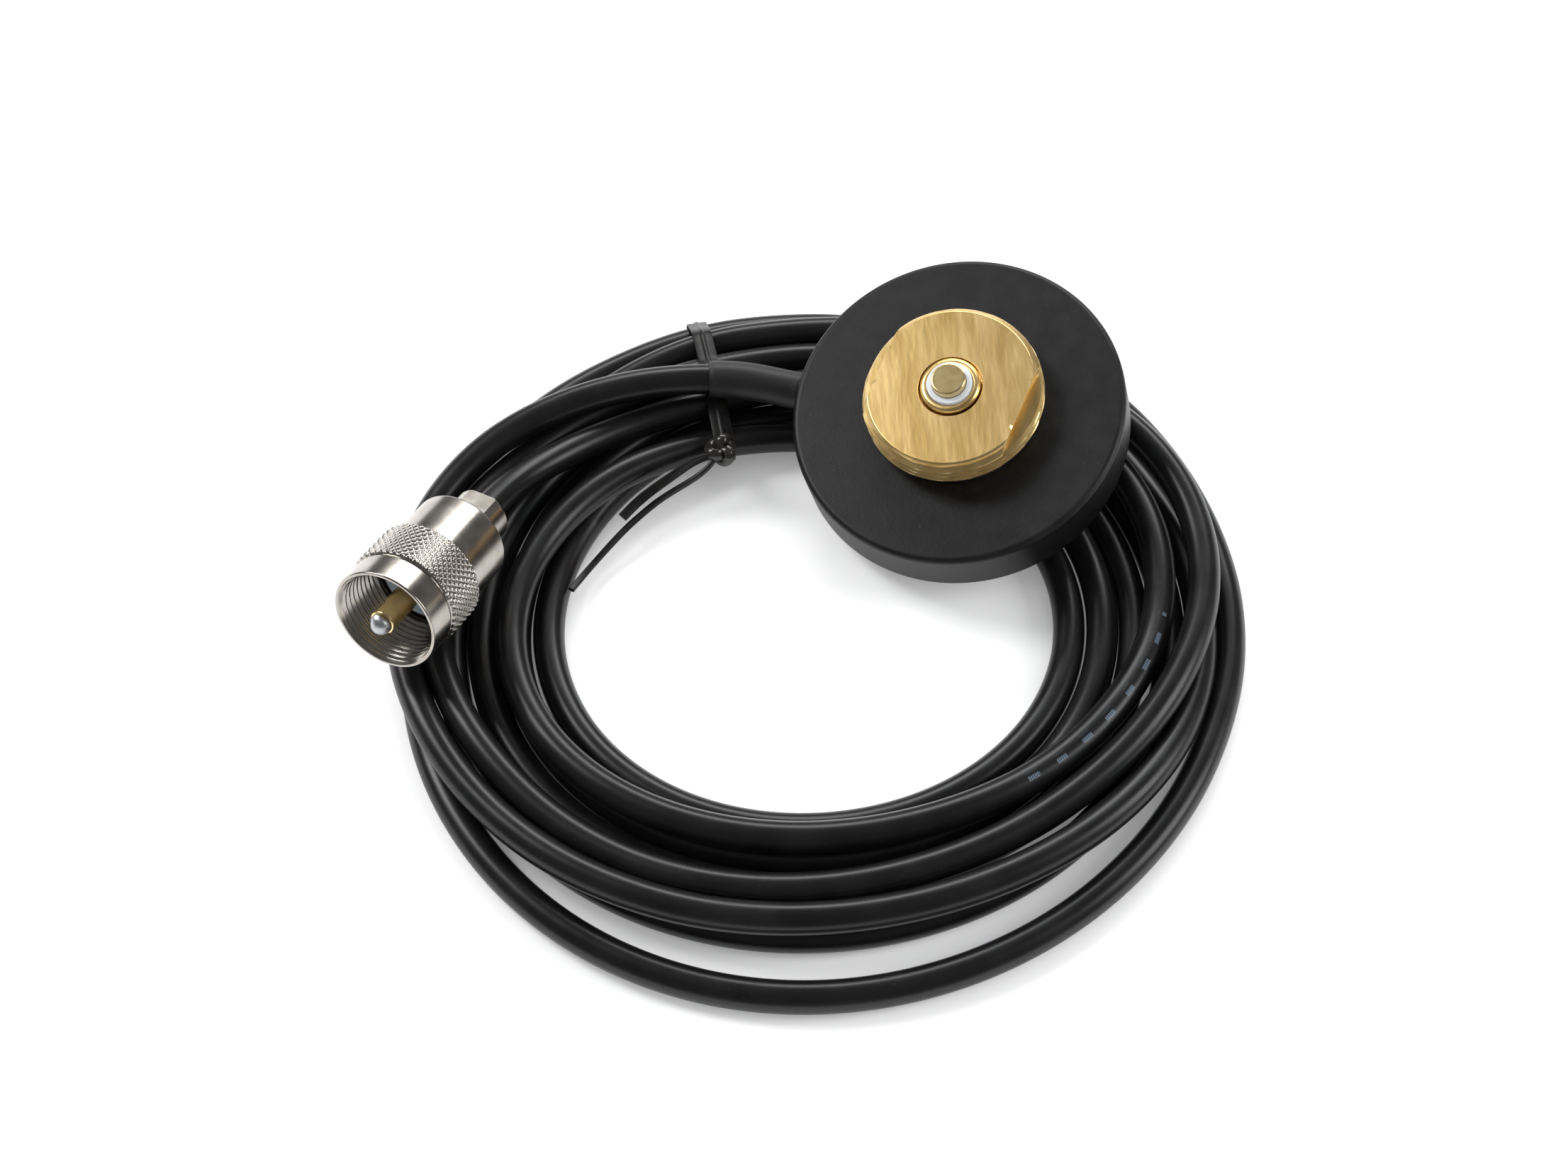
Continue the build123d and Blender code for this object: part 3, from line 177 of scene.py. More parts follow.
    (-29.7241, -40.2002, 6.3996), (-21.6060, -44.0201, 6.5715), (-12.9400, -46.3430, 6.7710),
    (-4.0142, -47.2755, 6.9549), (4.9502, -46.8534, 7.1485), (13.7595, -45.1285, 7.2794),
    (22.2572, -42.2313, 7.3084), (30.3149, -38.2689, 7.2564), (37.8686, -33.4206, 7.5153),
    (44.7759, -27.7069, 8.0258), (50.8568, -21.1335, 8.6636), (55.9059, -13.7371, 9.2742),
    (59.7253, -5.6269, 9.6797), (61.9768, 3.0521, 9.9272), (62.3292, 12.0080, 10.1558),
    (60.5739, 20.7909, 10.4770), (56.6930, 28.8531, 10.9553), (50.9026, 35.6649, 11.5616),
    (43.6236, 40.8658, 12.1359), (35.3758, 44.3713, 12.4333), (26.6590, 46.3275, 11.6299),
    (17.8854, 47.2121, 9.9289), (9.0953, 47.3866, 8.0933), (0.2483, 46.5640, 6.8252),
    (-8.5308, 44.7103, 6.7423), (-16.9845, 41.7123, 7.2051), (-25.2430, 38.2030, 7.6143),
    (-32.9965, 33.7755, 8.5286), (-39.9096, 28.2485, 10.0078), (-45.5932, 21.6968, 12.2641),
    (-49.5564, 14.1076, 14.9635),
])

# tie band, once round: distance along TIE_ALONG, height
TIE_LOOP = np.array([
    (8.67, 0.14), (10.38, 0.15), (12.08, 0.15), (13.78, 0.16), (15.49, 0.16), (17.19, 0.17),
    (18.89, 0.17), (20.59, 0.23), (22.207, 0.779), (23.695, 1.633), (25.169, 2.485),
    (26.634, 3.444), (27.467, 4.998), (27.255, 6.771), (26.07, 8.083), (24.401, 8.595),
    (22.724, 8.937), (21.053, 9.267), (19.383, 9.597), (17.706, 9.928), (16.006, 10.11),
    (14.303, 10.239), (12.602, 10.369), (10.883, 10.49), (9.183, 10.227), (7.501, 9.938),
    (5.83, 9.648), (4.122, 9.34), (2.625, 8.481), (1.275, 7.424), (-0.065, 6.373),
    (-1.422, 5.299), (-2.461, 3.886), (-2.503, 2.112), (-1.506, 0.627), (0.16, 0.15),
    (1.86, 0.14), (3.56, 0.14), (5.27, 0.14), (6.97, 0.14),
])
# loose ends of the tie beyond the knot: x, y, z
WIDE_TAIL = np.array([
    (-16.532, 29.215, 8.961), (-19.920, 27.258, 8.161), (-23.302, 25.032, 7.161),
    (-26.101, 22.804, 6.361), (-28.529, 20.158, 5.761),
])
NARROW_TAIL = np.array([
    (-14.622, 28.688, 8.344), (-18.824, 26.276, 6.261), (-22.779, 23.904, 5.261),
    (-25.572, 21.527, 4.661), (-27.782, 19.295, 4.261), (-30.522, 16.108, 3.661),
    (-33.225, 12.598, 3.161), (-36.191, 7.400, 3.961),
])


# ---------------------------------------------------------------- materials
def add_node(tree, kind, inputs=None, **settings):
    """Add a shader node; each input is given a value, or a socket to link from."""
    node = tree.nodes.new("ShaderNode" + kind)
    for setting, value in settings.items():
        setattr(node, setting, value)
    for key, value in (inputs or {}).items():
        if isinstance(value, bpy.types.NodeSocket):
            tree.links.new(value, node.inputs[key])
        else:
            node.inputs[key].default_value = value
    return node


def noise(tree, place, scale, detail):
    return add_node(tree, "TexNoise", {0: place, "Scale": scale, "Detail": detail}).outputs[0]


def map_range(tree, value, source=(0, 1), target=(0, 1)):
    inputs = dict(enumerate((value, *source, *target)))
    return add_node(tree, "MapRange", inputs).outputs[0]


def mix_colour(tree, factor, under, over):
    """Lay a plain colour over a colour socket; 6 and 7 are the node's colour inputs."""
    inputs = {0: factor, 6: under, 7: (*over, 1)}
    return add_node(tree, "Mix", inputs, data_type="RGBA").outputs[2]


def material(name, dark, light, rough=(0.4, 0.5), metal=0.0, scale=400, bump=0.05,
             bump_scale=900, wear=None, stretch=None, dust=0.0, specular=0.5):
    """Mottled surface between two colours.

    rough is the roughness range, wear the (colour, amount) on edges, stretch the
    (rotation, scale) of the texture, and dust the strength of fine pale specks.
    """
    made = bpy.data.materials.new(name)
    made.use_nodes = True
    tree = made.node_tree
    tree.nodes.clear()
    output = add_node(tree, "OutputMaterial")
    shader = add_node(tree, "BsdfPrincipled", {
        "Metallic": metal, "Coat Roughness": 0.25, "Specular IOR Level": specular})
    tree.links.new(shader.outputs[0], output.inputs[0])
    place = add_node(tree, "TexCoord").outputs["Object"]
    mapping = add_node(tree, "Mapping", {0: place})
    if stretch:
        mapping.inputs["Rotation"].default_value = stretch[0]
        mapping.inputs["Scale"].default_value = stretch[1]
    mottle = noise(tree, mapping.outputs[0], scale, detail=5)
    ramp = add_node(tree, "ValToRGB", {0: mottle})
    for element, position, tone in zip(ramp.color_ramp.elements, (0.32, 0.7), (dark, light)):
        element.position = position
        element.color = (*tone, 1)
    colour = ramp.outputs[0]
    if wear:
        # edges show where a softened normal leaves the true one
        normal = add_node(tree, "NewGeometry").outputs["Normal"]
        soft = add_node(tree, "Bevel", {0: 0.00035}, samples=4).outputs[0]
        match = add_node(tree, "VectorMath", {0: soft, 1: normal}, operation="DOT_PRODUCT")
        edge = map_range(tree, match.outputs["Value"], source=(0.995, 0.90),
                         target=(0, wear[1]))
        colour = mix_colour(tree, edge, colour, wear[0])
    if dust:
        specks = noise(tree, place, scale=2600, detail=2)
        specks = map_range(tree, specks, source=(0.70, 0.78), target=(0, dust))
        colour = mix_colour(tree, specks, colour, (0.35, 0.35, 0.36))
    tree.links.new(colour, shader.inputs["Base Color"])
    tree.links.new(map_range(tree, mottle, target=rough), shader.inputs["Roughness"])
    grain = noise(tree, mapping.outputs[0], bump_scale, detail=6)
    relief = add_node(tree, "Bump", {"Strength": bump, "Distance": 0.0002, "Height": grain})
    tree.links.new(relief.outputs[0], shader.inputs["Normal"])
    return made


def give(ob, surface):
    ob.data.materials.clear()
    ob.data.materials.append(surface)


BLACK_PAINT = material(
    "black_paint", dark=(0.004, 0.004, 0.0045), light=(0.008, 0.008, 0.0085),
    rough=(0.40, 0.50), scale=300, bump=0.10, bump_scale=1800,
    wear=((0.03, 0.03, 0.031), 0.5), dust=0.08, specular=0.35)
JACKET = material(
    "black_vinyl", dark=(0.004, 0.004, 0.0045), light=(0.008, 0.008, 0.0085),
    rough=(0.27, 0.36), scale=160, bump_scale=700, dust=0.06, specular=0.38)
SLEEVE = material(
    "heat_shrink", dark=(0.007, 0.007, 0.0075), light=(0.012, 0.012, 0.0125),
    rough=(0.45, 0.56), scale=260, bump=0.12, dust=0.08)
RUBBER = material(
    "rubber", dark=(0.012, 0.012, 0.012), light=(0.02, 0.02, 0.02),
    rough=(0.6, 0.75), scale=500, bump=0.2)
FERRITE = material(
    "ferrite", dark=(0.05, 0.05, 0.052), light=(0.09, 0.09, 0.092),
    rough=(0.5, 0.65), metal=0.2, scale=500, bump=0.3)
STEEL = material(
    "plated_steel", dark=(0.50, 0.50, 0.51), light=(0.62, 0.62, 0.63),
    rough=(0.25, 0.38), metal=1.0, scale=500)
BRASS = material(
    "brass", dark=(0.84, 0.56, 0.20), light=(0.94, 0.68, 0.30),
    rough=(0.26, 0.38), metal=1.0, scale=500, bump=0.10, bump_scale=1300,
    wear=((1.0, 0.84, 0.52), 0.6), stretch=((0.2, 0.2, 0.5), (1.0, 0.12, 1.0)))
GOLD = material(
    "gold_plate", dark=(0.80, 0.60, 0.27), light=(0.88, 0.69, 0.36),
    rough=(0.22, 0.30), metal=1.0, scale=700, bump=0.01, wear=((0.98, 0.86, 0.6), 0.5))
NICKEL = material(
    "nickel", dark=(0.34, 0.315, 0.28), light=(0.43, 0.40, 0.36),
    rough=(0.17, 0.26), metal=1.0, scale=350, bump=0.03,
    wear=((0.66, 0.64, 0.60), 0.5), dust=0.06)
PTFE = material(
    "fluoropolymer", dark=(0.60, 0.64, 0.68), light=(0.72, 0.75, 0.78),
    rough=(0.35, 0.45), scale=500)
PALE = material(
    "pale_plastic", dark=(0.50, 0.62, 0.72), light=(0.66, 0.76, 0.84),
    rough=(0.3, 0.4), scale=500)
SOLDER = material(
    "solder", dark=(0.36, 0.37, 0.38), light=(0.56, 0.57, 0.58),
    rough=(0.3, 0.5), metal=1.0, scale=900, bump=0.4, bump_scale=1500)
BRAID = material(
    "braid", dark=(0.45, 0.42, 0.38), light=(0.7, 0.66, 0.6),
    rough=(0.3, 0.45), metal=1.0, scale=2500, bump=0.8, bump_scale=3000)
POLYETHYLENE = material(
    "polyethylene", dark=(0.8, 0.8, 0.77), light=(0.88, 0.88, 0.85), bump=0.03)
COPPER = material(
    "copper", dark=(0.7, 0.36, 0.2), light=(0.85, 0.48, 0.3),
    rough=(0.25, 0.4), metal=1.0, scale=900, bump=0.2)
TIE = material(
    "tie_plastic", dark=(0.005, 0.005, 0.005), light=(0.012, 0.011, 0.010),
    rough=(0.30, 0.42), scale=500, bump=0.06, specular=0.25)
KNOT = material(
    "tie_plastic_knot", dark=(0.010, 0.009, 0.008), light=(0.028, 0.025, 0.022),
    rough=(0.14, 0.24), scale=500, bump=0.12)

PIECE_MATERIALS = {
    "base_shell": BLACK_PAINT, "base_pad": RUBBER, "ring_magnet": FERRITE,
    "magnet_yoke": STEEL, "mount_body": BRASS, "mount_gasket": RUBBER,
    "mount_lock_washer": STEEL, "mount_jam_nut": BRASS, "contact_collar": BRASS,
    "mount_insulator": PTFE, "mount_contact": GOLD, "contact_solder": SOLDER,
    "ground_clip": BRASS, "exit_tube": RUBBER, "heat_shrink_sleeve": SLEEVE,
    "cable_jacket": JACKET, "base_braid": BRAID, "base_dielectric": POLYETHYLENE,
    "base_conductor": COPPER, "plug_braid": BRAID, "plug_dielectric": POLYETHYLENE,
    "plug_conductor": COPPER, "plug_body": NICKEL, "plug_insulator": PALE,
    "plug_pin": GOLD, "pin_solder": SOLDER, "plug_reducer": NICKEL,
    "plug_slip_ring": NICKEL, "coupling_nut": NICKEL, "tie_band": TIE,
    "tie_knot": KNOT, "tie_tail_ribbon": TIE, "tie_tail_thin": TIE,
}
for piece_name, surface in PIECE_MATERIALS.items():
    give(nodes[piece_name], surface)


# ---------------------------------------------------------------- mesh tools
def make(name, piece, verts, faces, sharp, body="mount_and_lead", uvs=None, replaces=True):
    """Make a mesh for a CAD piece; edges over `sharp` degrees stay crisp."""
    mesh = bpy.data.meshes.new(name)
    mesh.from_pydata([tuple(v) for v in np.asarray(verts) / MM_PER_M], [], faces)
    mesh.validate()
    if uvs is not None:
        layer = mesh.uv_layers.new(name="along")
        corners = np.zeros(len(mesh.loops), np.int32)
        mesh.loops.foreach_get("vertex_index", corners)
        layer.data.foreach_set("uv", uvs[corners].astype(np.float32).ravel())
    mesh.polygons.foreach_set("use_smooth", [True] * len(mesh.polygons))
    mesh.set_sharp_from_angle(angle=math.radians(sharp))
    ob = bpy.data.objects.new(name, mesh)
    bpy.context.scene.collection.objects.link(ob)
    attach(ob, body)
    if replaces:
        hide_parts(piece)
    give(ob, PIECE_MATERIALS[piece])


def angles(count):
    return np.arange(count) * 2 * np.pi / count


def ring_faces(rings, around, closed=True):
    """Quads joining each ring of points to the next, and the last to the first if closed."""
    faces = []
    for i in range(rings if closed else rings - 1):
        here, there = i * around, (i + 1) % rings * around
        for j in range(around):
            k = (j + 1) % around
            faces.append((here + j, here + k, there + k, there + j))
    return faces


def fillet(radius, height, bend, start, end, count):
    """Outline points on an arc of radius `bend` about (radius, height), angles in degrees."""
    return [(radius + bend * math.cos(a), height + bend * math.sin(a))
            for a in np.radians(np.linspace(start, end, count))]


def with_edge_strips(rows):
    """Add a narrow strip beside each edge of a wide plain face, which keeps its shading flat."""
    rows = [(*row, "")[:3] for row in rows]
    full = []
    for row, after in zip(rows, rows[1:] + rows[:1]):
        full.append(row)
        gap = math.hypot(after[0] - row[0], after[1] - row[1])
        if gap > 0.5 and not {"knurl", "inner", "thread", "threadcut"} & {row[2], after[2]}:
            for part in (0.05 / gap, 1 - 0.05 / gap):
                full.append((row[0] + (after[0] - row[0]) * part,
                             row[1] + (after[1] - row[1]) * part, row[2]))
    return full


def lathe(name, piece, frame, rows, segments, shape=None, flats=None, sharp=32, **options):
    """Turn a closed outline, listed anticlockwise as (radius, height[, tag]).

    shape(radii, height, theta, tag) gives new radii for a row. flats is the (angle, half
    width) of two flats cut on the rows tagged "cut" or "threadcut".
    """
    origin, x, y, z = frame
    rows = with_edge_strips(rows)
    theta = angles(segments)
    verts = []
    for radius, height, tag in rows:
        radii = np.full(segments, float(radius))
        if shape:
            radii = shape(radii, height, theta, tag)
        px, py = radii * np.cos(theta), radii * np.sin(theta)
        if flats and tag in ("cut", "threadcut"):
            cos, sin = math.cos(flats[0]), math.sin(flats[0])
            reach = px * cos + py * sin
            cut = np.clip(reach, -flats[1], flats[1]) - reach
            px, py = px + cut * cos, py + cut * sin
        verts.append(origin + np.outer(px, x) + np.outer(py, y) + height * z)
    # reversed, because an anticlockwise outline leaves the faces pointing in
    faces = [face[::-1] for face in ring_faces(len(rows), segments)]
    make(name, piece, np.concatenate(verts), faces, sharp, **options)


def smooth_curve(points, step, start_slope=None, end_slope=None):
    """Points, headings and distances at an even step along a cubic spline.

    An end with no slope given has no curvature.
    """
    points = np.asarray(points, float)
    count = len(points)
    knots = np.r_[0, np.cumsum(np.linalg.norm(np.diff(points, axis=0), axis=1))]
    span = np.diff(knots)
    matrix = np.zeros((count, count))
    right = np.zeros((count, 3))
    for i in range(1, count - 1):
        matrix[i, i - 1:i + 2] = span[i], 2 * (span[i - 1] + span[i]), span[i - 1]
        right[i] = 3 * (span[i] * (points[i] - points[i - 1]) / span[i - 1]
                        + span[i - 1] * (points[i + 1] - points[i]) / span[i])
    if start_slope is None:
        matrix[0, :2] = 2, 1
        right[0] = 3 * (points[1] - points[0]) / span[0]
    else:
        matrix[0, 0], right[0] = 1, start_slope
    if end_slope is None:
        matrix[-1, -2:] = 1, 2
        right[-1] = 3 * (points[-1] - points[-2]) / span[-1]
    else:
        matrix[-1, -1], right[-1] = 1, end_slope
    slopes = np.linalg.solve(matrix, right)
    # sample the spline finely, then space the samples evenly by length
    fine = np.linspace(0, knots[-1], max(2, int(knots[-1] / 0.1)))
    k = np.clip(np.searchsorted(knots, fine, side="right") - 1, 0, count - 2)
    t = ((fine - knots[k]) / span[k])[:, None]
    width = span[k][:, None]
    path = ((2 * t**3 - 3 * t**2 + 1) * points[k] + (t**3 - 2 * t**2 + t) * width * slopes[k]
            + (-2 * t**3 + 3 * t**2) * points[k + 1] + (t**3 - t**2) * width * slopes[k + 1])
    length = np.r_[0, np.cumsum(np.linalg.norm(np.diff(path, axis=0), axis=1))]
    along = np.linspace(0, length[-1], max(2, int(round(length[-1] / step)) + 1))
    even = np.stack([np.interp(along, length, path[:, i]) for i in range(3)], 1)
    headings = np.gradient(even, axis=0)
    headings /= np.linalg.norm(headings, axis=1)[:, None]
    return even, headings, along


def square_to(vector, heading):
    """The part of a vector at right angles to a heading, at unit length."""
    part = vector - heading * (vector @ heading)
    return part / np.linalg.norm(part)


def carry_sides(headings):
    """Two cross directions carried along the headings with no twist, starting from UP."""
    side, sides = UP, []
    for heading in headings:
        side = square_to(side, heading)
        sides.append(side)
    sides = np.array(sides)
    return sides, np.cross(headings, sides)


def tube(name, piece, curve, section, segments, **options):
    """Sweep section(i, theta), two offsets across ring i, along a curve and close its ends."""
    points, headings, along = curve
    first, second = carry_sides(headings)
    theta = angles(segments)
    verts, uvs = [], []
    for i, point in enumerate(points):
        a, b = section(i, theta)
        verts.append(point + np.outer(a, first[i]) + np.outer(b, second[i]))
        uvs.append(np.stack([np.full(segments, along[i] / MM_PER_M), theta / (2 * np.pi)], 1))
    faces = ring_faces(len(points), segments, closed=False)
    faces.append(tuple(range(segments))[::-1])
    faces.append(tuple((len(points) - 1) * segments + j for j in range(segments)))
    make(name, piece, np.concatenate(verts), faces, sharp=40, uvs=np.concatenate(uvs), **options)


def oval(a, b):
    return lambda i, theta: (a * np.cos(theta), b * np.sin(theta))


def triangle_wave(x):
    return 1 - np.abs(2 * (x - np.floor(x)) - 1)


def signed_power(value, power):
    return np.sign(value) * np.abs(value) ** power


# ---------------------------------------------------------------- lead
JACKET_RADIUS = 2.47
lead_points, lead_headings, lead_along = smooth_curve(LEAD_LINE, 1.1, BASE_X, PLUG_Z)
# one more ring at each end runs the jacket into the cup and into the plug
inside_cup = BASE_ORIGIN + BASE_Z * 3.6 + BASE_X * 20.6
inside_plug = PLUG_ORIGIN - PLUG_Z * 20.0
jacket_points = np.concatenate([[inside_cup], lead_points, [inside_plug]])
jacket_headings = np.concatenate([[BASE_X], lead_headings, [PLUG_Z]])
jacket_along = np.concatenate([[-5.9], lead_along, [lead_along[-1] + 9.2]])

INK_SPAN = (2110, 2148)                     # stretch of the lead that is inked
INK_FACING = np.array([0.0, -0.57, 0.82])   # direction the ink faces
INK_HALF_WIDTH = 0.024                      # in turns round the jacket
DASHES_PER_M, DASH_SHARE = 190.0, 0.38
DOTS_PER_M, DOT_GAP = 2600.0, 0.3
INK_STRENGTH = 0.26
INK_COLOUR = (0.32, 0.45, 0.60)


def ink_jacket():
    """Dashes of pale ink along one stretch of the jacket, each broken into dots."""
    tree = JACKET.node_tree

    def calc(operation, *values):
        return add_node(tree, "Math", dict(enumerate(values)), operation=operation).outputs[0]

    middle = np.argmin(np.abs(jacket_along - sum(INK_SPAN) / 2))
    first, second = carry_sides(jacket_headings)
    angle = math.atan2(INK_FACING @ second[middle], INK_FACING @ first[middle])
    turn = (angle / (2 * math.pi)) % 1.0

    uv_map = add_node(tree, "UVMap", uv_map="along")
    along, around = add_node(tree, "SeparateXYZ", {0: uv_map.outputs[0]}).outputs[:2]
    stretch = calc("MULTIPLY", calc("GREATER_THAN", along, INK_SPAN[0] / MM_PER_M),
                   calc("LESS_THAN", along, INK_SPAN[1] / MM_PER_M))
    band = calc("LESS_THAN", calc("ABSOLUTE", calc("SUBTRACT", around, turn)), INK_HALF_WIDTH)
    dash = calc("LESS_THAN", calc("FRACT", calc("MULTIPLY", along, DASHES_PER_M)), DASH_SHARE)
    dots = calc("GREATER_THAN", calc("FRACT", calc("MULTIPLY", along, DOTS_PER_M)), DOT_GAP)
    mask = calc("MULTIPLY", calc("MULTIPLY", calc("MULTIPLY", stretch, band),
                                 calc("MULTIPLY", dash, dots)), INK_STRENGTH)
    base_colour = tree.nodes["Principled BSDF"].inputs["Base Color"]
    plain = base_colour.links[0].from_socket
    tree.links.new(mix_colour(tree, mask, plain, INK_COLOUR), base_colour)


ink_jacket()
tube("lead_jacket", "cable_jacket", (jacket_points, jacket_headings, jacket_along),
     oval(JACKET_RADIUS, JACKET_RADIUS), 24)

# sleeve: shrunk tube with a soft lip at each end and slight waves
SLEEVE_RADIUS = 3.04
SLEEVE_START, SLEEVE_END, SLEEVE_STEP = 0.32, 15.9, 0.2
sleeve_stop = np.searchsorted(lead_along, SLEEVE_END) + 6
sleeve_curve = smooth_curve(lead_points[:sleeve_stop], SLEEVE_STEP, BASE_X)
kept = (sleeve_curve[2] > SLEEVE_START) & (sleeve_curve[2] < SLEEVE_END)
sleeve_curve = [values[kept] for values in sleeve_curve]
sleeve_rings = len(sleeve_curve[0])


def sleeve_ring(i, theta):
    from_start, from_end = i * SLEEVE_STEP, (sleeve_rings - 1 - i) * SLEEVE_STEP
    radius = (SLEEVE_RADIUS - 0.10 * math.exp(-from_start ** 2 / 0.10)
              - 0.16 * math.exp(-from_end ** 2 / 0.25))
    radius = (radius + 0.02 * np.sin(3 * theta + i * 0.11)
              + 0.012 * np.sin(i * 0.32) * np.cos(2 * theta))
    return radius * np.cos(theta), radius * np.sin(theta)


tube("sleeve", "heat_shrink_sleeve", sleeve_curve, sleeve_ring, 48)

# ---------------------------------------------------------------- threaded mount
CUP_H = 8.6            # top of the cup
FACE_H = 16.0          # end face of the mount
THREAD_PITCH, THREAD_DEPTH, THREAD_RADIUS = 1.411, 0.86, 14.2875
NECK_RADIUS = 13.1     # plain part under the thread
THREAD_FOOT, THREAD_FULL = CUP_H + 2.4, CUP_H + 2.9
FLATS_FOOT = FACE_H - 2.0
THREAD_STEP = 0.075


def thread_limit(height):
    """Crest radius of the thread, which tapers at both ends."""
    return float(np.interp(
        height, [THREAD_FOOT, THREAD_FULL, FACE_H - 1.15, FACE_H - 0.08, FACE_H],
        [NECK_RADIUS, THREAD_RADIUS, THREAD_RADIUS, THREAD_RADIUS - 1.08, THREAD_RADIUS - 1.2]))


def mount_shape(radii, height, theta, tag):
    if not tag.startswith("thread"):
        return radii
    phase = (height - THREAD_FULL) / THREAD_PITCH - theta / (2 * np.pi)
    groove = np.clip((triangle_wave(phase) - 0.10) / 0.62, 0, 1)
    return np.minimum(radii, THREAD_RADIUS - THREAD_DEPTH * groove)


rows = [(3.65, 5.7), (9.0, 5.7), (9.0, CUP_H + 0.5), (13.02, CUP_H + 0.5),
        (NECK_RADIUS, CUP_H + 0.6), (NECK_RADIUS, CUP_H + 2.38)]
rows += [(thread_limit(h), h, "thread")
         for h in np.arange(THREAD_FOOT, FLATS_FOOT - 0.01, THREAD_STEP)]
rows += [(thread_limit(FLATS_FOOT), FLATS_FOOT, "thread"),
         (thread_limit(FLATS_FOOT), FLATS_FOOT + 0.001, "threadcut")]
rows += [(thread_limit(h), h, "threadcut")
         for h in np.arange(FACE_H - 1.93, FACE_H - 0.07, THREAD_STEP)]
rows += [(THREAD_RADIUS - 1.15, FACE_H - 0.03, "cut"), (THREAD_RADIUS - 1.25, FACE_H, "cut"),
         (11.7, FACE_H), (5.15, FACE_H), (5.05, FACE_H - 0.08), (5.05, FACE_H - 2.4),
         (4.80, FACE_H - 2.4), (4.80, FACE_H - 4.0), (4.55, FACE_H - 4.0),
         (4.55, FACE_H - 7.1), (3.65, FACE_H - 7.1)]
lathe("mount_turned", "mount_body", BASE, rows, 288, shape=mount_shape,
      flats=(math.radians(-6.7), 11.8))

# cup, open below, with rounded edges
rows = [(9.2, 7.4), (25.3, 7.4), (25.3, 0.0), (26.15, 0.0)]
rows += fillet(26.15, 0.35, 0.35, -80, 0, 5)
rows += fillet(25.5, CUP_H - 1.0, 1.0, 0, 90, 12)
rows += [(20.0, CUP_H), (13.5, CUP_H), (9.2, CUP_H)]
lathe("cup", "base_shell", BASE, rows, 256)

# centre contact
rows = [(0.01, 5.0), (1.3, 5.0), (1.3, FACE_H + 0.42), (2.6, FACE_H + 0.42),
        (2.7, FACE_H + 0.52)]
rows += fillet(2.42, FACE_H + 2.32, 0.28, 0, 90, 7) + [(0.01, FACE_H + 2.6)]
lathe("contact_button", "mount_contact", BASE, rows, 96)

# collar round the insulator
rows = [(3.65, FACE_H - 3.95), (4.75, FACE_H - 3.95), (4.75, FACE_H - 0.1)]
rows += fillet(4.0, FACE_H - 0.05, 0.75, 0, 90, 10)
rows += fillet(3.85, FACE_H + 0.5, 0.2, 90, 180, 5)
lathe("collar", "contact_collar", BASE, rows, 96)

# insulator round the contact
rows = [(1.36, 6.2), (3.60, 6.2), (3.60, FACE_H - 7.05), (4.50, FACE_H - 7.05),
        (4.50, FACE_H - 4.05), (3.58, FACE_H - 4.05)]
rows += fillet(3.43, FACE_H + 1.15, 0.15, 0, 90, 5)
rows += [(2.76, FACE_H + 1.3), (2.76, FACE_H + 0.38), (1.36, FACE_H + 0.38)]
lathe("insulator_ring", "mount_insulator", BASE, rows, 96)

# ---------------------------------------------------------------- plug
KNURL_TEETH, KNURL_PITCH, KNURL_RADIUS, KNURL_DEPTH = 48, 1.3, 8.95, 0.34
KNURL_STEP = KNURL_PITCH / 8
NUT_PITCH, NUT_BORE, NUT_THREAD_DEPTH = 1.058, 7.45, 0.49


def nut_shape(radii, height, theta, tag):
    """Diamond knurl outside, and a thread inside."""
    if tag == "knurl":
        around, rise = KNURL_TEETH * theta / (2 * np.pi), height / KNURL_PITCH
        ridge = np.minimum(triangle_wave(around + rise), triangle_wave(around - rise))
        return KNURL_RADIUS - KNURL_DEPTH + KNURL_DEPTH * np.minimum(1.0, 1.2 * ridge)
    if tag == "inner":
        phase = height / NUT_PITCH - theta / (2 * np.pi)
        groove = np.clip((triangle_wave(phase) - 0.15) / 0.75, 0, 1)
        return np.maximum(radii, NUT_BORE + NUT_THREAD_DEPTH * groove)
    return radii


# up the outside of the nut to its open end at height 0, then down the bore
rows = [(6.2, -22.4), (7.42, -22.4)] + fillet(7.42, -22.07, 0.33, -80, 0, 5)
rows += [(7.75, -12.86), (7.95, -12.72), (8.6, -12.72)]
rows += [(KNURL_RADIUS, h, "knurl")
         for h in np.arange(math.ceil(-12.68 / KNURL_STEP) * KNURL_STEP, -5.32, KNURL_STEP)]
rows += [(8.6, -5.22), (8.36, -5.1), (8.36, -4.82), (8.46, -4.72), (8.5, -4.66)]
rows += fillet(8.28, -0.22, 0.22, 0, 90, 6) + [(8.04, 0.0), (8.0, -0.03)]
rows += [(float(np.interp(h, [-0.6, 0], [NUT_BORE, 8.0])), h, "inner")
         for h in np.arange(-0.08, -9.7, -0.085)]
rows += [(7.46, -9.8), (7.5, -10.0), (7.5, -19.2), (6.2, -19.2)]
lathe("coupling_nut_turned", "coupling_nut", PLUG, rows, 384, shape=nut_shape, sharp=50,
      body="nut")

# centre pin
rows = [(0.5, -15.5), (1.98, -15.5), (1.98, -10.35), (2.7, -10.35), (2.75, -10.3),
        (2.75, -9.85), (2.7, -9.8), (1.98, -9.8), (1.98, 0.35)]
rows += fillet(1.7, 0.42, 0.28, 0, 90, 5) + [(0.5, 0.7)]
lathe("centre_pin", "plug_pin", PLUG, rows, 64)


def dome_shape(radii, height, theta, tag):
    """Slightly lumpy rounds."""
    return radii * (1 + 0.04 * np.sin(2 * theta + 3 * height) + 0.03 * np.sin(3 * theta + 1))


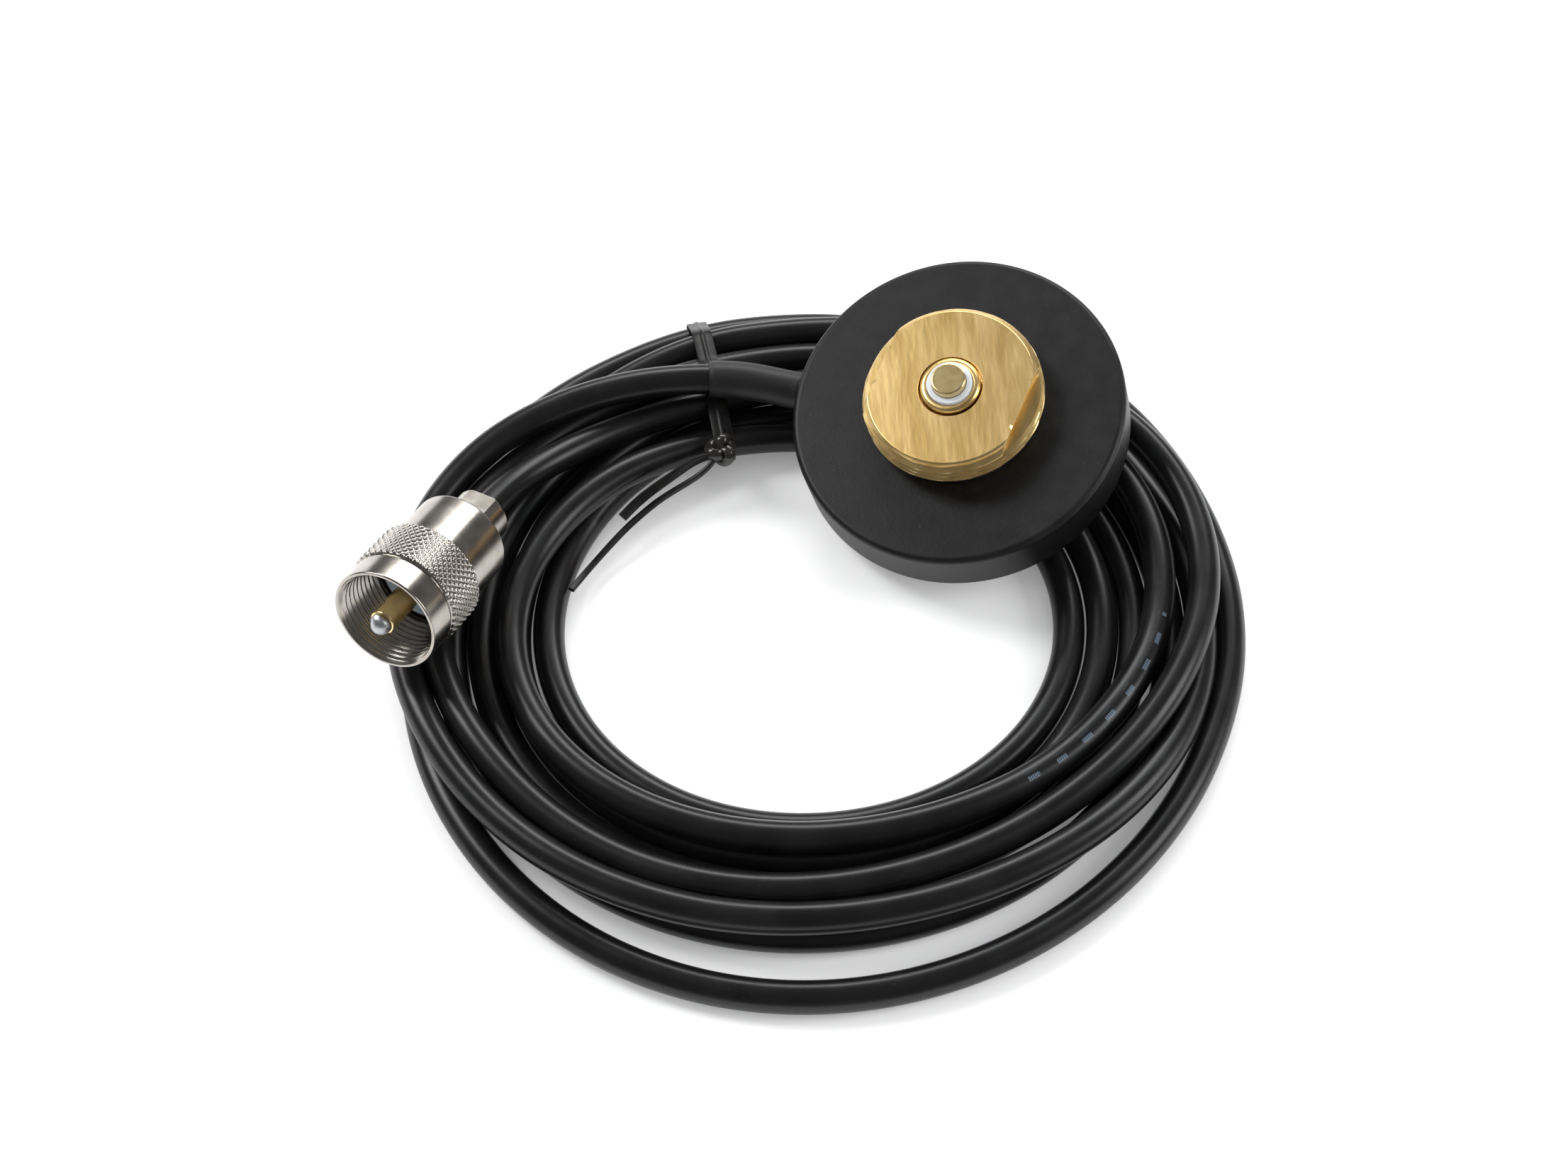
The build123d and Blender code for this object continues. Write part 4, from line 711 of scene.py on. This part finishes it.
rows = [(0.01, 0.72), (1.45, 0.72), (1.62, 0.85), (1.66, 1.1), (1.52, 1.5), (1.25, 1.85),
        (0.85, 2.12), (0.42, 2.27), (0.01, 2.31)]
lathe("solder_dome", "pin_solder", PLUG, rows, 48, shape=dome_shape)

# ---------------------------------------------------------------- twist tie
# section of the band, flat with a low ridge on its outer face: across, outward
BAND_SECTION = [
    (-1.6, 0.06), (-1.5, 0.11), (-0.45, 0.12), (-0.25, 0.26), (0.0, 0.31), (0.25, 0.26),
    (0.45, 0.12), (1.5, 0.11), (1.6, 0.06), (1.6, -0.08), (1.55, -0.12), (-1.55, -0.12),
    (-1.6, -0.08),
]
FLOOR_RUN, FLOOR_THICK = 1.2, 0.10   # below this height, the outer side is held this thin

# the loop is run past its ends to be smooth there, then trimmed to exactly one turn
overlapped = np.concatenate([TIE_LOOP[-4:], TIE_LOOP, TIE_LOOP[:5]])
band_line, band_headings, _ = smooth_curve(np.c_[overlapped, np.zeros(len(overlapped))], 0.5)
from_start = np.linalg.norm(band_line[:, :2] - TIE_LOOP[0], axis=1)
half = len(band_line) // 2
turn = slice(int(np.argmin(from_start[:half])), half + int(np.argmin(from_start[half:])))
band_line, band_headings = band_line[turn], band_headings[turn]
verts = []
for point, heading in zip(band_line, band_headings):
    outward = np.array((heading[1], -heading[0]))
    for across, out in BAND_SECTION:
        if point[1] < FLOOR_RUN:
            out = min(out, FLOOR_THICK)
        along, height = point[:2] + outward * out
        verts.append(TIE_ORIGIN + TIE_ALONG * along + UP * height + TIE_ACROSS * across)
make("tie_ribbon", "tie_band", verts, ring_faces(len(band_line), len(BAND_SECTION)), sharp=30)

# knot: a flat strand along a trefoil that faces the camera
KNOT_CENTRE = (np.array((-12.565, 31.203, 9.461)) * 0.55
               + np.array((-13.107, 30.289, 9.961)) * 0.45)
KNOT_SIZE, KNOT_DEPTH, KNOT_TURN = 0.66, 0.80, 0.5
KNOT_SEGMENTS = 22

knot_t = np.linspace(0, 2 * np.pi, 241)[:-1]
knot_x = np.sin(knot_t) + 2 * np.sin(2 * knot_t)
knot_y = np.cos(knot_t) - 2 * np.cos(2 * knot_t)
cos, sin = math.cos(KNOT_TURN), math.sin(KNOT_TURN)
knot_line = (KNOT_CENTRE + KNOT_SIZE * np.outer(knot_x * cos - knot_y * sin, VIEW_RIGHT)
             + KNOT_SIZE * np.outer(knot_x * sin + knot_y * cos, VIEW_UP)
             + KNOT_DEPTH * np.outer(np.sin(3 * knot_t), VIEW_FORWARD))
knot_headings = np.roll(knot_line, -1, 0) - np.roll(knot_line, 1, 0)
knot_headings /= np.linalg.norm(knot_headings, axis=1)[:, None]
theta = angles(KNOT_SEGMENTS)
ridged = 0.42 + 0.16 * np.exp(-(np.cos(theta) / 0.3) ** 2)
verts = []
for t, point, heading in zip(knot_t, knot_line, knot_headings):
    facing = square_to(point - KNOT_CENTRE, heading) * 0.45 - VIEW_FORWARD
    facing = square_to(facing, heading)
    half_width = 0.98 + 0.10 * math.sin(3 * t + 0.8)
    verts.append(point
                 + np.outer(signed_power(np.cos(theta), 0.7) * half_width,
                            np.cross(heading, facing))
                 + np.outer(signed_power(np.sin(theta), 0.8) * ridged, facing))
make("tie_twist", "tie_knot", np.concatenate(verts),
     ring_faces(len(knot_line), KNOT_SEGMENTS), sharp=60)

# short neck between the band and the knot: two strands wound round each other
neck_from = np.array((-12.276, 32.935, 7.711)) + np.array([0, 0.6, -0.2])
neck_to = KNOT_CENTRE + 0.72 * VIEW_UP
for side in (0, 1):
    strand = []
    for part in np.linspace(0, 1, 9):
        phase = 3.1 * part + side * math.pi
        strand.append(neck_from + (neck_to - neck_from) * part
                      + 0.38 * math.cos(phase) * VIEW_RIGHT
                      + 0.30 * math.sin(phase) * VIEW_FORWARD)
    tube(f"tie_neck_{side}", "tie_knot", smooth_curve(strand, 0.1), oval(0.55, 0.30), 20,
         replaces=False)


def tie_tail(name, piece, left, down, points, width, thick, twist, segments):
    """Flat tail from beside the knot, turning by `twist` radians along its length."""
    start = KNOT_CENTRE - left * VIEW_RIGHT - down * VIEW_UP
    curve = smooth_curve(np.concatenate([[start], points]), 0.25)

    def section(i, theta):
        a = signed_power(np.cos(theta), 0.45) * width / 2
        b = signed_power(np.sin(theta), 0.6) * thick / 2
        angle = twist * i / len(curve[0])
        return (a * math.cos(angle) - b * math.sin(angle),
                a * math.sin(angle) + b * math.cos(angle))

    tube(name, piece, curve, section, segments)


tie_tail("tie_tail_wide", "tie_tail_ribbon", left=1.6, down=1.0, points=WIDE_TAIL,
         width=1.6, thick=0.5, twist=1.1, segments=28)
tie_tail("tie_tail_narrow", "tie_tail_thin", left=1.0, down=1.4, points=NARROW_TAIL,
         width=1.05, thick=0.7, twist=1.6, segments=24)

# ---------------------------------------------------------------- stage, in metres
scene = bpy.context.scene
bpy.ops.mesh.primitive_plane_add(size=8, location=(0, 0, -0.00003))
floor = bpy.context.object
floor.name = "floor"
floor_material = material(
    "floor", dark=(0.93, 0.93, 0.93), light=(0.95, 0.95, 0.95),
    rough=(0.7, 0.8), scale=3, bump=0.0, specular=0.15)
give(floor, floor_material)
floor_shader = floor_material.node_tree.nodes["Principled BSDF"]
floor_shader.inputs["Emission Color"].default_value = (1, 1, 1, 1)
floor_shader.inputs["Emission Strength"].default_value = 0.16

# an even pale light, but a dim room in reflections, so that black stays black
world = bpy.data.worlds.new("pale")
scene.world = world
world.use_nodes = True
background = world.node_tree.nodes["Background"]
background.inputs[0].default_value = (0.98, 0.985, 1.0, 1)
glossy = add_node(world.node_tree, "LightPath").outputs["Is Glossy Ray"]
strength = map_range(world.node_tree, glossy, target=(0.74, 0.15))
world.node_tree.links.new(strength, background.inputs[1])


def area_light(name, place, size, power):
    """Rectangular light aimed at the origin."""
    light = bpy.data.lights.new(name, "AREA")
    light.shape = "RECTANGLE"
    light.size, light.size_y = size
    light.energy = power
    ob = bpy.data.objects.new(name, light)
    scene.collection.objects.link(ob)
    ob.location = place
    ob.rotation_mode = "QUATERNION"
    ob.rotation_quaternion = (-Vector(place)).to_track_quat("-Z", "Y")


area_light("key_left", place=(-0.55, 0.25, 0.60), size=(0.26, 0.40), power=3.6)
area_light("top_back", place=(0.1, 0.70, 0.55), size=(0.8, 0.22), power=4.6)
area_light("right", place=(0.65, -0.05, 0.40), size=(0.25, 0.4), power=2.0)

camera = bpy.data.objects.new("camera", bpy.data.cameras.new("camera"))
scene.collection.objects.link(camera)
camera.location = (VIEW_AIM - VIEW_DISTANCE * VIEW_FORWARD) / MM_PER_M
camera.rotation_euler = (math.radians(90 - VIEW_TILT), 0, 0)
camera.data.sensor_width = 36
camera.data.lens = 60.65642
camera.data.clip_start, camera.data.clip_end = 0.01, 50
scene.camera = camera
scene.view_settings.view_transform = "Standard"
